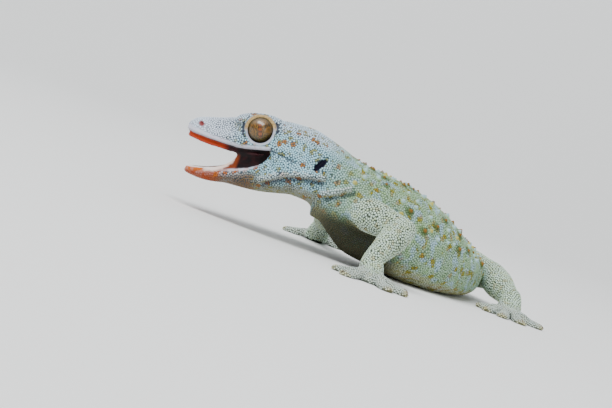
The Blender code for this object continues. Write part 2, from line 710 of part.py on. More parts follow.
def toe_object(name, root, degrees, length, collection):
    """One toe with its flat pad on the floor."""
    angle = math.radians(degrees)
    along = np.array([-math.sin(angle), -math.cos(angle)])
    across = np.array([-along[1], along[0]])
    shares = np.array([row[0] for row in TOE])
    rings = [
        section(root + along * length * share, across, row, round_angles(TOE_SIDES))
        for share, row in zip(shares, blend(TOE, shares))
    ]
    return loft(name, rings, collection)


def claw(name, root, degrees, length, collection):
    """A small claw over the end of a toe."""
    angle = math.radians(degrees)
    level = Vector((-math.sin(angle), -math.cos(angle), 0))
    along = level * math.cos(CLAW_DROP) - Vector((0, 0, math.sin(CLAW_DROP)))
    mesh = bmesh.new()
    bmesh.ops.create_cone(mesh, cap_ends=True, segments=CLAW_SIDES, radius1=CLAW_RADIUS * MM,
                          radius2=CLAW_POINT * MM, depth=CLAW_LENGTH * MM)
    start = Vector((root[0], root[1], CLAW_LEVEL)) + level * length * CLAW_START
    turn = along.to_track_quat("Z", "Y").to_matrix().to_4x4()
    matrix = Matrix.Translation((start + along * CLAW_LENGTH / 2) * MM) @ turn
    bmesh.ops.transform(mesh, matrix=matrix, verts=mesh.verts)
    return add_object(name, mesh, collection)


def limb(name, upper, lower, end, tables, parts, cutters, carriers):
    """The three sub-parts of one limb, each meeting the one it grows from."""
    root, bend, wrist, sole = LIMBS[name]
    side = name.split("_")[1]
    upper_table, lower_table = tables
    first = limb_segment(f"{upper}_{side}", root, bend, upper_table, parts)
    second = limb_segment(f"{lower}_{side}", bend, wrist, lower_table, parts)
    cut(first, carriers)
    upper_clearance = limb_segment(f"{upper}_{side}_clearance", root, bend, upper_table, cutters, GAP / MM)
    lower_clearance = limb_segment(f"{lower}_{side}_clearance", bend, wrist, lower_table, cutters, GAP / MM)
    cut(second, [upper_clearance, *carriers])
    along = (Vector(sole) - Vector(wrist)).to_2d().normalized()
    across = np.array([-along.y, along.x])
    stations = np.linspace(PALM[0][0], PALM[-1][0], PALM_RINGS)
    rings = [
        section(np.array(wrist[:2]) + np.array(along) * station, across, row, round_angles(LIMB_SIDES))
        for station, row in zip(stations, blend(PALM, stations))
    ]
    palm = loft(f"{end}_{side}", rings, parts)
    toes = []
    for number, (degrees, length) in enumerate(TOES[name]):
        toes.append(toe_object(f"toe_{number}", np.array(sole[:2]), degrees, length, parts))
        if number:
            toes.append(claw(f"claw_{number}", sole, degrees, length, parts))
    fuse(palm, toes)
    cut(palm, [lower_clearance])
    for piece in (first, second, palm):
        piece.data.materials.append(finish("limb_skin"))


def centre_on_floor(parts, cutters):
    """Puts the middle of the whole animal's box over the origin."""
    corners = np.array([vert.co for obj in parts.objects for vert in obj.data.vertices])
    middle = (corners.min(axis=0) + corners.max(axis=0)) / 2
    shift = Matrix.Translation((-middle[0], -middle[1], 0))
    for obj in [*parts.objects, *cutters.objects]:
        obj.data.transform(shift)


def main():
    clear_scene()
    parts = new_collection("tokay_gecko")
    cutters = new_collection("cutters")
    head_parts(parts, cutters)
    clear = body_parts(parts, cutters)
    for name in LIMBS:
        if name.startswith("arm"):
            carriers = [clear["neck"], clear["torso_front"]]
            limb(name, "upper_arm", "forearm", "hand", (UPPER_ARM, FOREARM), parts, cutters, carriers)
        else:
            carriers = [clear["torso_rear"], clear["tail_base"]]
            limb(name, "thigh", "shin", "foot", (THIGH, SHIN), parts, cutters, carriers)
    centre_on_floor(parts, cutters)
    for obj in parts.objects:
        obj.data.shade_smooth()
        obj.data.set_sharp_from_angle(angle=SMOOTH_ANGLE)


main()
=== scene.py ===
"""Tokay gecko, life size, at rest on the floor with its mouth wide open.

One skin runs over the whole animal. Small scales and tubercles stand on it, and the eyes, the tongue
and the claws are pieces of their own. The forms are drawn in millimetres in the frame of the tables,
and put in their place in the row's frame, in metres, at the end of each piece.
"""

import math

import bmesh
import bpy
import numpy as np
from bpy.props import FloatProperty, FloatVectorProperty, IntProperty, PointerProperty
from mathutils import Matrix, Vector
from mathutils.bvhtree import BVHTree
from mathutils.kdtree import KDTree


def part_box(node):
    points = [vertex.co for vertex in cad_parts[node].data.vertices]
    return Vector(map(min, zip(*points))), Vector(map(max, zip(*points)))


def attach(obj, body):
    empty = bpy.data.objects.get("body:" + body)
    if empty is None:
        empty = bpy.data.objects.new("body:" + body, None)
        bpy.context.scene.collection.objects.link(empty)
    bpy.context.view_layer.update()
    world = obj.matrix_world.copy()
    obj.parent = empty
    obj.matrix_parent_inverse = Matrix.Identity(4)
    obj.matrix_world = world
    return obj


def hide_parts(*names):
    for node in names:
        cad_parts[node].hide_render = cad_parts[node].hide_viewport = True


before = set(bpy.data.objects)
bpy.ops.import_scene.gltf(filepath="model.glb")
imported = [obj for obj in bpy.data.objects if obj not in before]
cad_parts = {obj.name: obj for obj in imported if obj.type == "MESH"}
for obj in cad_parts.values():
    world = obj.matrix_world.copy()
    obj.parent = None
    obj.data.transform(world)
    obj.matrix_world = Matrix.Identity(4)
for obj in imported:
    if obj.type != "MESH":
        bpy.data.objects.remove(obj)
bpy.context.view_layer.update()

bl_info = {
    "name": "Tokay gecko",
    "version": (1, 0, 0),
    "blender": (4, 5, 0),
    "location": "View3D > Sidebar > Gecko",
    "description": "Builds a life-size tokay gecko with its scales, eyes and claws",
    "category": "Add Mesh",
}

MM = 0.001

# Sizes in millimetres in the frame of the tables: the head faces -X, its middle is at Y 0 and the floor
# is at Z 0. Distances behind the head start at NECK_X and run along the spine.
NECK_X = -19.5
VENT = 91.0
BODY_END = 231.0
EYE_AT = (-44.2, 7.25, 28.5)
EYE_RADIUS = 4.3
EYE_OUT = 0.5
EYE_OPENING = (3.68, 6.5, 3.68)
LID_RADIUS = 4.12
LID_WIDTH = 0.5
LID_Y = 10.05
ORBIT_REACH = 8
ORBIT_Y = 7.4
EAR_AT = (-24.3, 25.3)
EAR_SIZE = (3.0, 2.4, 0.9)
EAR_TILT = math.radians(57)
EAR_FOLD = 0.4
NOSTRIL_AT = (-61.2, 24.5)
NOSTRIL_SIZE = (0.62, 0.6, 0.46)
LIP_LIFT = 0.75
LIP_DROP = -0.7
LIP_INSET = -0.15
LIP_BACK = -40.6
JAW_SLOPE = 0.386
CLAW_ROOT = 0.84
CLAW_LENGTH = 2.3
CLAW_RADIUS = 0.42

# How the scales are spread: random places tried for each scale, the least distance between two at first
# and the reach of their push as shares of their spacing, the rounds and strength of the push, and how
# many neighbours push.
COAT_SAMPLES = 6
COAT_GAP = 0.72
COAT_REACH = 1.12
COAT_ROUNDS = 7
COAT_PUSH = 0.33
COAT_NEIGHBOURS = 7

# The tones of a tubercle that make it brown, where the tubercles of the body end, and how much of the
# texture one scale takes.
BROWN_TONES = (0.46, 0.82)
WARTED = 90.0
PATCH_SIZE = 0.0015

# Sections along X of the head, the lower jaw, the hollow of the mouth and the tongue: x, lowest,
# widest and highest level, half width, the roundness of the lower and upper halves (2 is an
# ellipse, more is squarer), and how much the upper half narrows.
HEAD = (
    (-65.0, 21.9, 22.4, 22.9, 0.6, 2.0, 2.0, 0.0),
    (-64.5, 21.5, 22.4, 24.1, 2.5, 3.0, 2.0, 0.0),
    (-63.0, 21.3, 22.4, 25.6, 4.1, 3.5, 2.1, 0.0),
    (-60.5, 21.1, 22.4, 26.7, 5.7, 4.0, 2.2, 0.05),
    (-57.5, 21.0, 22.5, 27.6, 7.2, 4.0, 2.4, 0.1),
    (-53.5, 21.1, 22.9, 29.1, 8.9, 4.0, 2.6, 0.2),
    (-49.0, 21.3, 23.4, 31.1, 10.5, 4.0, 2.6, 0.27),
    (-44.5, 22.2, 24.0, 32.4, 11.9, 4.0, 2.7, 0.27),
    (-40.4, 23.3, 24.6, 32.9, 13.2, 3.6, 2.6, 0.2),
    (-39.2, 23.8, 24.9, 33.2, 13.6, 3.4, 2.6, 0.18),
    (-37.9, 19.0, 23.4, 33.4, 14.1, 3.0, 2.5, 0.17),
    (-36.6, 14.6, 22.6, 33.6, 14.6, 2.6, 2.4, 0.13),
    (-34.0, 12.9, 22.2, 33.8, 15.2, 2.4, 2.4, 0.1),
    (-29.5, 13.8, 22.0, 34.0, 15.5, 2.3, 2.3, 0.06),
    (-25.0, 13.6, 21.6, 33.1, 14.7, 2.3, 2.3, 0.03),
    (NECK_X, 9.8, 20.2, 31.6, 12.6, 2.2, 2.2, 0.0),
)
JAW = (
    (-61.8, 10.1, 10.4, 10.8, 0.6, 2.0, 2.0, 0.0),
    (-61.2, 9.6, 10.6, 11.5, 2.5, 2.4, 2.8, 0.0),
    (-59.4, 9.3, 10.9, 12.0, 4.2, 2.4, 3.4, 0.0),
    (-56.5, 9.2, 11.3, 12.8, 5.9, 2.4, 4.0, 0.0),
    (-53.0, 9.6, 12.2, 14.2, 7.7, 2.4, 4.0, 0.0),
    (-49.0, 10.5, 13.6, 15.6, 9.5, 2.4, 4.0, 0.0),
    (-44.4, 10.9, 14.8, 17.3, 11.2, 2.4, 4.0, 0.0),
    (-41.3, 11.2, 15.6, 19.6, 12.4, 2.4, 3.6, 0.0),
    (-39.9, 11.4, 16.2, 21.8, 12.9, 2.4, 3.2, 0.0),
    (-39.0, 11.5, 16.6, 24.2, 13.3, 2.4, 3.0, 0.0),
    (-37.6, 11.8, 17.2, 23.6, 13.8, 2.4, 3.0, 0.0),
    (-33.0, 13.0, 18.2, 22.6, 14.6, 2.4, 3.0, 0.0),
)
MOUTH = (
    (-60.2, 12.2, 16.5, 22.0, 1.6, 2.4, 2.0, 0.0),
    (-57.0, 11.2, 16.5, 22.4, 3.8, 2.4, 2.0, 0.0),
    (-52.0, 11.9, 17.0, 23.2, 5.9, 2.4, 2.0, 0.0),
    (-46.0, 13.6, 18.0, 24.1, 8.2, 2.4, 2.0, 0.0),
    (-41.0, 14.9, 19.0, 25.0, 9.8, 2.4, 2.0, 0.0),
    (-37.5, 15.6, 19.4, 24.4, 8.8, 2.2, 2.0, 0.0),
    (-34.0, 17.4, 19.2, 21.4, 4.4, 2.0, 2.0, 0.0),
)
TONGUE = (
    (-56.2, 10.9, 11.7, 12.2, 1.4, 2.0, 2.0, 0.0),
    (-54.6, 10.8, 12.0, 13.1, 3.0, 2.0, 2.2, 0.0),
    (-50.0, 11.2, 13.1, 14.6, 4.2, 2.0, 2.4, 0.0),
    (-45.0, 12.6, 14.6, 16.3, 5.0, 2.0, 2.4, 0.0),
    (-41.6, 13.8, 15.6, 17.0, 4.2, 2.0, 2.2, 0.0),
    (-40.6, 14.8, 15.8, 16.6, 2.6, 2.0, 2.0, 0.0),
)

# Round swellings on each side of the head: name, place on the left side with its distance from the
# middle, radii and turn. They are the bulge of the eye, its brow and the front corner of the mouth's wall.
SWELLINGS = (
    ("orbit", (-43.8, 7.6, 28.1), (5.9, 3.5, 5.0), None),
    ("brow", (-45.1, 6.3, 30.65), (7.1, 3.0, 2.5), Matrix.Rotation(math.radians(-12), 3, "Y")),
    ("mouth corner", (-48.6, 8.4, 21.7), (1.0, 0.6, 0.95), None),
)

# The soft wall that closes the mouth on each side, from the front of the jaw to the throat: the share
# of the way round, X, half width, and the wall's lowest and highest level.
LINING = (
    (0.0, -55.6, 5.4, 12.0, 13.0),
    (0.16, -53.2, 6.6, 12.6, 14.0),
    (0.26, -51.2, 7.4, 13.2, 15.2),
    (0.36, -49.4, 8.1, 14.0, 16.9),
    (0.42, -48.4, 8.4, 14.4, 18.6),
    (0.45, -48.0, 8.5, 14.6, 21.4),
    (0.463, -47.8, 8.6, 14.8, 24.4),
    (0.6, -44.0, 9.4, 16.0, 24.4),
    (0.78, -40.0, 9.7, 16.6, 24.4),
    (0.9, -36.4, 6.5, 15.2, 24.4),
    (1.0, -34.6, 0.0, 15.0, 24.4),
)

# Which way the spine runs, in degrees from +X towards +Y, by the distance behind the head.
HEADING = (
    (0.0, 0.0),
    (6.0, 7.0),
    (14.0, 20.0),
    (25.0, 41.0),
    (38.0, 62.0),
    (50.0, 74.0),
    (65.0, 82.0),
    (84.0, 86.0),
    (105.0, 88.0),
    (130.0, 92.0),
    (160.0, 102.0),
    (190.0, 114.0),
    (215.0, 122.0),
    (BODY_END, 126.0),
)

# Sections of the body and tail by the distance behind the head, in the columns of the head's.
BODY = (
    (0.0, 9.8, 20.2, 31.6, 12.6, 2.2, 2.2, 0.0),
    (4.0, 6.8, 18.6, 30.2, 12.2, 2.2, 2.1, 0.0),
    (10.0, 3.2, 15.6, 28.8, 12.8, 2.2, 2.0, 0.0),
    (17.0, 2.0, 13.2, 28.3, 14.0, 2.4, 2.0, 0.0),
    (27.0, 0.6, 11.0, 26.9, 15.2, 2.6, 2.0, 0.0),
    (33.0, -0.2, 9.9, 25.3, 16.0, 2.8, 2.0, 0.0),
    (38.0, -0.4, 9.2, 23.6, 16.5, 2.8, 2.0, 0.0),
    (44.0, -0.4, 8.6, 21.4, 16.9, 2.9, 2.0, 0.0),
    (52.0, -0.4, 8.1, 19.0, 17.0, 2.9, 2.1, 0.0),
    (64.0, -0.4, 7.6, 17.0, 16.2, 2.9, 2.2, 0.0),
    (75.0, -0.4, 7.2, 16.0, 13.6, 2.8, 2.3, 0.0),
    (84.0, -0.4, 6.8, 14.8, 11.2, 2.6, 2.2, 0.0),
    (VENT, -0.4, 6.1, 13.0, 9.4, 2.5, 2.2, 0.0),
    (99.0, -0.4, 5.6, 11.9, 8.8, 2.5, 2.2, 0.0),
    (115.0, -0.4, 4.8, 10.1, 7.4, 2.5, 2.2, 0.0),
    (140.0, -0.4, 3.8, 8.0, 5.8, 2.5, 2.1, 0.0),
    (170.0, -0.4, 2.7, 5.8, 4.1, 2.4, 2.0, 0.0),
    (200.0, -0.3, 1.7, 3.6, 2.5, 2.4, 2.0, 0.0),
    (222.0, -0.2, 0.95, 2.0, 1.3, 2.2, 2.0, 0.0),
    (BODY_END, 0.05, 0.45, 0.95, 0.5, 2.0, 2.0, 0.0),
)

# Limb segments: half width and half height by the share of the way from joint to joint.
UPPER_ARM = ((0.0, 4.9, 5.3), (0.45, 4.4, 4.8), (0.8, 3.9, 4.0), (1.0, 3.8, 3.8))
FOREARM = ((0.0, 3.8, 3.8), (0.3, 4.0, 4.0), (0.75, 3.1, 3.2), (1.0, 2.7, 2.8))
THIGH = ((0.0, 6.0, 6.4), (0.4, 5.8, 6.0), (0.8, 4.7, 4.8), (1.0, 4.4, 4.4))
SHIN = ((0.0, 4.4, 4.4), (0.3, 4.6, 4.5), (0.75, 3.4, 3.4), (1.0, 2.9, 3.0))
LIMBS = {
    "arm_left": ((-10.8, -8.0, 16.6), (3.9, -20.5, 15.6), (-1.8, -35.5, 6.2), (-1.0, -41.5, 0.0)),
    "arm_right": ((-10.7, 10.5, 16.2), (-17.5, 29.5, 14.5), (-17.5, 45.5, 6.0), (-18.0, 51.5, 0.0)),
    "leg_left": ((27.0, 64.0, 8.6), (38.8, 46.6, 9.2), (45.4, 29.8, 5.0), (45.0, 23.8, 0.0)),
    "leg_right": ((14.0, 65.0, 9.0), (-6.5, 66.5, 10.4), (-6.5, 86.5, 5.2), (-7.5, 92.5, 0.0)),
}

# Toes by limb: the direction of each in degrees from -Y towards -X, and its length.
TOES = {
    "arm_left": ((92.0, 11.0), (42.0, 12.2), (-28.0, 12.6), (-62.0, 12.4), (-100.0, 11.2)),
    "arm_right": ((98.0, 11.0), (138.0, 12.2), (172.0, 12.6), (206.0, 12.2), (244.0, 10.8)),
    "leg_left": ((74.0, 10.6), (40.0, 12.8), (12.0, 13.8), (-16.0, 14.0), (-66.0, 12.2)),
    "leg_right": ((88.0, 10.6), (124.0, 12.8), (150.0, 13.8), (178.0, 14.0), (228.0, 12.2)),
}

# Palm sections by the distance from the wrist, and toe sections by the share of the toe's length,
# in the columns of the head's.
PALM = (
    (-2.6, 3.6, 5.6, 7.6, 1.6, 2.0, 2.0, 0.0),
    (-1.4, 2.9, 5.4, 8.4, 2.7, 2.0, 2.0, 0.0),
    (1.6, 1.4, 4.2, 7.6, 3.2, 2.2, 2.0, 0.0),
    (4.6, -0.2, 2.2, 5.0, 3.7, 2.6, 2.0, 0.0),
    (7.6, -0.2, 1.5, 3.5, 3.6, 2.8, 2.2, 0.0),
    (9.6, -0.2, 1.0, 2.4, 2.4, 2.6, 2.2, 0.0),
    (10.4, 0.1, 0.8, 1.6, 1.5, 2.0, 2.0, 0.0),
)
TOE = (
    (0.0, 0.6, 1.8, 3.2, 1.2, 2.0, 2.0, 0.0),
    (0.28, 0.7, 1.9, 3.1, 1.05, 2.0, 2.0, 0.0),
    (0.48, 0.1, 1.3, 2.6, 1.2, 2.4, 2.0, 0.1),
    (0.64, -0.3, 0.7, 2.0, 1.9, 2.8, 2.0, 0.2),
    (0.84, -0.3, 0.6, 1.7, 2.15, 2.8, 2.0, 0.2),
    (0.95, -0.3, 0.6, 1.3, 1.6, 2.6, 2.0, 0.1),
    (1.0, 0.1, 0.5, 0.9, 0.5, 2.0, 2.0, 0.0),
)

# The webs between toes: how far along the toes they reach, at the toes and between them, and their
# lowest and highest level.
WEB_SHARE = 0.34
WEB_MIDDLE = 0.26
WEB_LEVELS = (0.7, 1.7)

# Radii of the upper lip, the lower lip and the gum.
LIP_RADII = (0.5, 0.5, 0.75)

# How far round the joints the skin is smoothed: at the root of an arm and of a leg, at the elbow or knee,
# and at the wrist or ankle.
ROOT_REACH = {"arm": 7.5, "leg": 9.0}
BEND_REACH = 3.4
WRIST_REACH = 2.4
THROAT_X = -36.5

# The groove round the lids: radius, half width and depth. The rings of the tail: spacing and height.
LID_GROOVE = (5.15, 0.3, 0.4)
TAIL_RINGS = (6.6, 0.16)
UNEVENNESS = 0.07
CREASES = 0.08

# Folds and grooves of the head and neck, seen from the side: the line's points in X and Z, its half
# width, and how far the skin stands out along it.
FOLDS = (
    (((-39.2, 24.2), (-35.5, 23.9), (-31.8, 23.3)), 0.4, -0.5),
    (((-40.5, 25.4), (-34.5, 25.1), (-29.5, 24.3)), 0.8, 0.3),
    (((-39.5, 15.3), (-34.8, 18.5), (-31.4, 20.1), (-26.5, 21.3), (-21.9, 22.0)), 0.75, 0.95),
    (((-38.3, 14.0), (-34.2, 16.9), (-30.8, 18.5), (-26.3, 19.7), (-22.0, 20.4)), 0.7, -0.75),
    (((-34.0, 14.2), (-29.0, 15.6), (-25.0, 16.6)), 1.8, 0.5),
    (((-21.0, 17.7), (-17.4, 19.6), (-13.8, 21.8)), 0.8, 1.15),
    (((-20.0, 16.2), (-16.4, 18.1), (-12.6, 20.4)), 0.7, -1.0),
    (((-21.6, 24.6), (-20.2, 28.8)), 0.8, 0.35),
    (((-60.4, 26.0), (-55.0, 27.5), (-50.0, 29.3)), 0.9, 0.3),
    (((-58.5, 24.5), (-54.0, 25.3), (-50.4, 26.6)), 1.3, -0.35),
    (((-54.0, 24.6), (-52.0, 24.9), (-50.6, 25.0)), 0.3, -0.2),
)


def srgb(*levels):
    """The linear colour of one given in display levels from 0 to 255."""
    shares = [level / 255 for level in levels]
    return tuple(s / 12.92 if s <= 0.04045 else ((s + 0.055) / 1.055) ** 2.4 for s in shares)


class SkinSettings(bpy.types.PropertyGroup):
    voxel: FloatProperty(name="Mesh size", description="Size of the skin's cells in millimetres",
                         default=0.3, min=0.2, max=1.0)
    triangles: IntProperty(name="Triangles", description="Most triangles in the skin", default=190000)
    relief: FloatProperty(name="Fold depth", description="Share of each fold's full depth",
                          default=1.0, subtype="FACTOR", min=0.0, max=2.0)
    blending: IntProperty(name="Blending", description="Rounds of smoothing where limbs join", default=60)


class CoatSettings(bpy.types.PropertyGroup):
    spacing: FloatProperty(name="Scale spacing", description="Share of the usual distance between scales",
                           default=1.0, subtype="FACTOR", min=0.7, max=2.0)
    height: FloatProperty(name="Scale height", description="Share of the usual height of a scale",
                          default=1.0, subtype="FACTOR", min=0.2, max=2.0)
    tubercle: FloatProperty(name="Tubercle radius", description="Radius of a large tubercle in metres",
                            default=0.95 * MM, unit="LENGTH")
    seed: IntProperty(name="Seed", description="Start of the random draws", default=7)


# The colours in the sidebar: key, label, what it colours, and the default in display levels.
COLOURS = (
    ("snout", "Snout", "the snout and crown", (212, 222, 238)),
    ("cheek", "Cheek", "the cheeks and jaw", (152, 206, 222)),
    ("body", "Body", "the back and sides", (144, 176, 128)),
    ("belly", "Belly", "the underside", (168, 158, 112)),
    ("limb", "Limbs", "the limbs", (200, 224, 190)),
    ("foot", "Feet", "the hands and feet", (196, 200, 186)),
    ("orange", "Orange spots", "the orange-brown spots", (156, 98, 0)),
    ("olive", "Olive spots", "the olive-yellow spots", (138, 128, 14)),
    ("blue", "Pale patches", "the pale blue patches", (158, 190, 214)),
    # Between scales is partly the darker skin there and partly painted shade on the lower rims of the scales.
    ("shadow", "Between scales", "the skin between scales", (44, 58, 68)),
)


class ColourSettings(bpy.types.PropertyGroup):
    __annotations__ = {
        key: FloatVectorProperty(name=label, description="Colour of " + what, default=srgb(*levels),
                                 subtype="COLOR")
        for key, label, what, levels in COLOURS}


class StageSettings(bpy.types.PropertyGroup):
    key: FloatProperty(name="Key light", description="Power of the key light", default=104.0, unit="POWER")
    fill: FloatProperty(name="Fill light", description="Power of the fill light", default=14.0, unit="POWER")
    world: FloatProperty(name="Room light", description="Strength of the light from all sides", default=0.64)
    roll: FloatProperty(name="Camera roll", description="Turn of the camera about its own axis",
                        default=math.radians(20), subtype="ANGLE")
    elevation: FloatProperty(name="Camera elevation", description="Angle of the camera above the horizon",
                             default=math.radians(2.5), subtype="ANGLE")


class GeckoSettings(bpy.types.PropertyGroup):
    skin: PointerProperty(type=SkinSettings)
    coat: PointerProperty(type=CoatSettings)
    colour: PointerProperty(type=ColourSettings)
    stage: PointerProperty(type=StageSettings)


def settings():
    return bpy.context.scene.gecko


# Shapes from tables

def blend(table, places):
    """Rows of a table at places along its first column, on smooth curves that don't overshoot."""
    table = np.asarray(table, float)
    places = np.clip(np.atleast_1d(places), table[0, 0], table[-1, 0])
    knots, rows = table[:, 0], table[:, 1:]
    steps = np.diff(knots)[:, None]
    slopes = np.diff(rows, axis=0) / steps
    product = slopes[:-1] * slopes[1:]
    total = np.where(product > 0, slopes[:-1] + slopes[1:], 1.0)
    middle = np.where(product > 0, 2 * product / total, 0.0)
    tangents = np.vstack([slopes[:1], middle, slopes[-1:]])
    i = np.clip(np.searchsorted(knots, places) - 1, 0, len(knots) - 2)
    h = steps[i]
    t = (places[:, None] - knots[i][:, None]) / h
    start = rows[i] * (2 * t**3 - 3 * t**2 + 1) + tangents[i] * h * (t**3 - 2 * t**2 + t)
    return start + rows[i + 1] * (3 * t**2 - 2 * t**3) + tangents[i + 1] * h * (t**3 - t**2)


def spine():
    """Distances behind the head with the heading and the plan position at each."""
    step = 0.25
    distance = np.arange(0.0, BODY_END + step, step)
    heading = np.radians(blend(HEADING, distance)[:, 0])
    x = NECK_X + np.concatenate([[0.0], np.cumsum(np.cos(heading[:-1])) * step])
    y = np.concatenate([[0.0], np.cumsum(np.sin(heading[:-1])) * step])
    return distance, heading, x, y


SPINE = spine()


def body_place(distance):
    """The plan position and the direction across the body at a distance behind the head."""
    along, heading, x, y = SPINE
    angle = np.interp(distance, along, heading)
    place = np.array([np.interp(distance, along, x), np.interp(distance, along, y)])
    return place, np.array([-math.sin(angle), math.cos(angle)])


def section(place, across, row, angles):
    """Points at angles round an upright cross-section, none of them below the floor."""
    low, wide, top, half_width, low_power, top_power, taper = row
    c, s = np.cos(angles), np.sin(angles)
    power = np.where(s < 0, low_power, top_power)
    rise = np.abs(s) ** (2 / power)
    width = half_width * np.sign(c) * np.abs(c) ** (2 / power) * (1 - taper * rise * (s > 0))
    height = np.where(s < 0, wide - (wide - low) * rise, wide + (top - wide) * rise)
    flat = np.asarray(place)[None, :] + width[:, None] * np.asarray(across)[None, :]
    return np.column_stack([flat, np.maximum(height, 0.0)])


def round_angles(sides):
    return (np.arange(sides) + 0.5) * 2 * math.pi / sides


def ring_surface(rings, closed=False):
    """A mesh in bmesh form through rings of equally many points, capped unless it closes on itself."""
    mesh = bmesh.new()
    rows = [[mesh.verts.new(point) for point in ring] for ring in rings]
    pairs = list(zip(rows, rows[1:] + rows[:1])) if closed else list(zip(rows, rows[1:]))
    for near, far in pairs:
        for i in range(len(near)):
            j = (i + 1) % len(near)
            mesh.faces.new((near[i], near[j], far[j], far[i]))
    if not closed:
        mesh.faces.new(rows[0])
        mesh.faces.new(rows[-1])
    bmesh.ops.recalc_face_normals(mesh, faces=mesh.faces)
    return mesh


def link(name, data):
    """A new object of a mesh, a light or a camera, in the scene."""
    obj = bpy.data.objects.new(name, data)
    bpy.context.scene.collection.objects.link(obj)
    return obj


def add_object(name, mesh):
    data = bpy.data.meshes.new(name)
    mesh.to_mesh(data)
    mesh.free()
    data.shade_smooth()
    return link(name, data)


def straight_loft(name, table, count, sides):
    """A loft along X whose sections come from a table."""
    share = (1 - np.cos(np.linspace(0.0, math.pi, count))) / 2
    stations = table[0][0] + (table[-1][0] - table[0][0]) * share
    angles = round_angles(sides)
    rings = [section((x, 0.0), (0.0, 1.0), row, angles) for x, row in zip(stations, blend(table, stations))]
    return add_object(name, ring_surface(rings))


def body_loft(name, start, end, count, sides):
    """A stretch of the body between two distances behind the head."""
    stations = np.linspace(start, end, count)
    rings = []
    for station, row in zip(stations, blend(BODY, stations)):
        place, across = body_place(station)
        if station < 0:
            place = np.array([NECK_X + station, 0.0])
        rings.append(section(place, across, row, round_angles(sides)))
    return add_object(name, ring_surface(rings))


def limb_segment(name, start, end, table):
    """A limb segment with a round end at each joint."""
    sides = 24
    start, end = Vector(start), Vector(end)
    length = (end - start).length
    along = (end - start).normalized()
    side = along.cross(Vector((0, 0, 1))).normalized()
    up = side.cross(along)
    bow = np.radians((84.0, 70.0, 54.0, 36.0, 18.0))
    stations = [(-math.sin(a), math.cos(a), 0.0) for a in bow]
    stations += [(0.0, 1.0, share) for share in np.linspace(0.0, 1.0, 16)]
    stations += [(math.sin(a), math.cos(a), 1.0) for a in bow[::-1]]
    rings = []
    for beyond, narrowing, share in stations:
        half_width, half_height = blend(table, share)[0] * narrowing
        centre = start + along * (length * share + beyond * blend(table, share)[0][0])
        rings.append([centre + side * math.cos(a) * half_width + up * math.sin(a) * half_height
                      for a in round_angles(sides)])
    return add_object(name, ring_surface(rings))


def ellipsoid(name, at, size, turn=None):
    mesh = bmesh.new()
    bmesh.ops.create_uvsphere(mesh, u_segments=40, v_segments=20, radius=1.0)
    matrix = Matrix.Diagonal((*size, 1))
    if turn is not None:
        matrix = turn.to_4x4() @ matrix
    bmesh.ops.transform(mesh, matrix=Matrix.Translation(at) @ matrix, verts=mesh.verts)
    return add_object(name, mesh)


def rim(name, at, radius, thickness, normal, stretch=(1, 1), turn=0.0):
    """A ring of round section about a normal, stretched to an oval and turned about the normal."""
    basis = Vector(normal).to_track_quat("Z", "Y").to_matrix() @ Matrix.Rotation(turn, 3, "Z")
    rings = []
    for angle in np.linspace(0, 2 * math.pi, 56, endpoint=False):
        ring = []
        for bend in np.linspace(0, 2 * math.pi, 12, endpoint=False):
            reach = radius + thickness * math.cos(bend)
            point = (math.cos(angle) * reach * stretch[0], math.sin(angle) * reach * stretch[1],
                     thickness * math.sin(bend))
            ring.append(Vector(at) + basis @ Vector(point))
        rings.append(ring)
    return add_object(name, ring_surface(rings, closed=True))


def tube(name, points, radii, sides=12):
    """A tube through points with a radius at each."""
    path = [Vector(point) for point in points]
    rings = []
    for i, (point, size) in enumerate(zip(path, radii)):
        along = (path[min(i + 1, len(path) - 1)] - path[max(i - 1, 0)]).normalized()
        side = along.cross(Vector((0, 0, 1))).normalized()
        up = side.cross(along)
        rings.append([point + side * math.cos(a) * size + up * math.sin(a) * size
                      for a in round_angles(sides)])
    return add_object(name, ring_surface(rings))


def hull(name, points):
    mesh = bmesh.new()
    for point in points:
        mesh.verts.new(point)
    bmesh.ops.convex_hull(mesh, input=mesh.verts)
    bmesh.ops.recalc_face_normals(mesh, faces=mesh.faces)
    return add_object(name, mesh)


def side_of_section(table, x, z):
    """Half the width of a section of a table at a height."""
    low, wide, top, half_width, low_power, top_power, taper = blend(table, x)[0]
    upper = z > wide
    share = (z - wide) / (top - wide) if upper else (wide - z) / (wide - low)
    share = min(max(share, 0.0), 0.999)
    power = top_power if upper else low_power
    width = half_width * (1 - share**power) ** (1 / power)
    return width * (1 - taper * share) if upper else width


def lip_line(table, column, lift, front, back, outset):
    """Points along the edge of the mouth from the left corner round the front to the right one.

    The column holds the level of the edge, and the points lie closer at the front, where it curves most.
    """
    sides = []
    for sign in (-1, 1):
        points = []
        for x in front + (back - front) * np.linspace(0, 1, 40) ** 1.6:
            z = blend(table, x)[0][column] + lift
            points.append((x, sign * (side_of_section(table, x, z) + outset), z))
        sides.append(np.array(points))
    return np.vstack([sides[0][::-1], sides[1]])


def lip_lines():
    """The middle of the upper lip, the lower lip and the gum below the upper lip."""
    upper = lip_line(HEAD, 0, LIP_LIFT, -64.5, -40.0, LIP_INSET)
    lower = lip_line(JAW, 2, LIP_DROP, -61.2, LIP_BACK, LIP_INSET)
    gum = lip_line(HEAD, 0, LIP_LIFT, -63.3, LIP_BACK, -1.45) - np.array([0.0, 0.0, 1.65])
    return upper, lower, gum


def apply_modifiers(obj):
    graph = bpy.context.evaluated_depsgraph_get()
    mesh = bpy.data.meshes.new_from_object(obj.evaluated_get(graph))
    obj.modifiers.clear()
    obj.data = mesh


def cut(obj, cutters):
    for cutter in cutters:
        difference = obj.modifiers.new("cut", "BOOLEAN")
        difference.operation = "DIFFERENCE"
        difference.solver = "MANIFOLD"
        difference.object = cutter
    apply_modifiers(obj)
    sort_faces(obj)


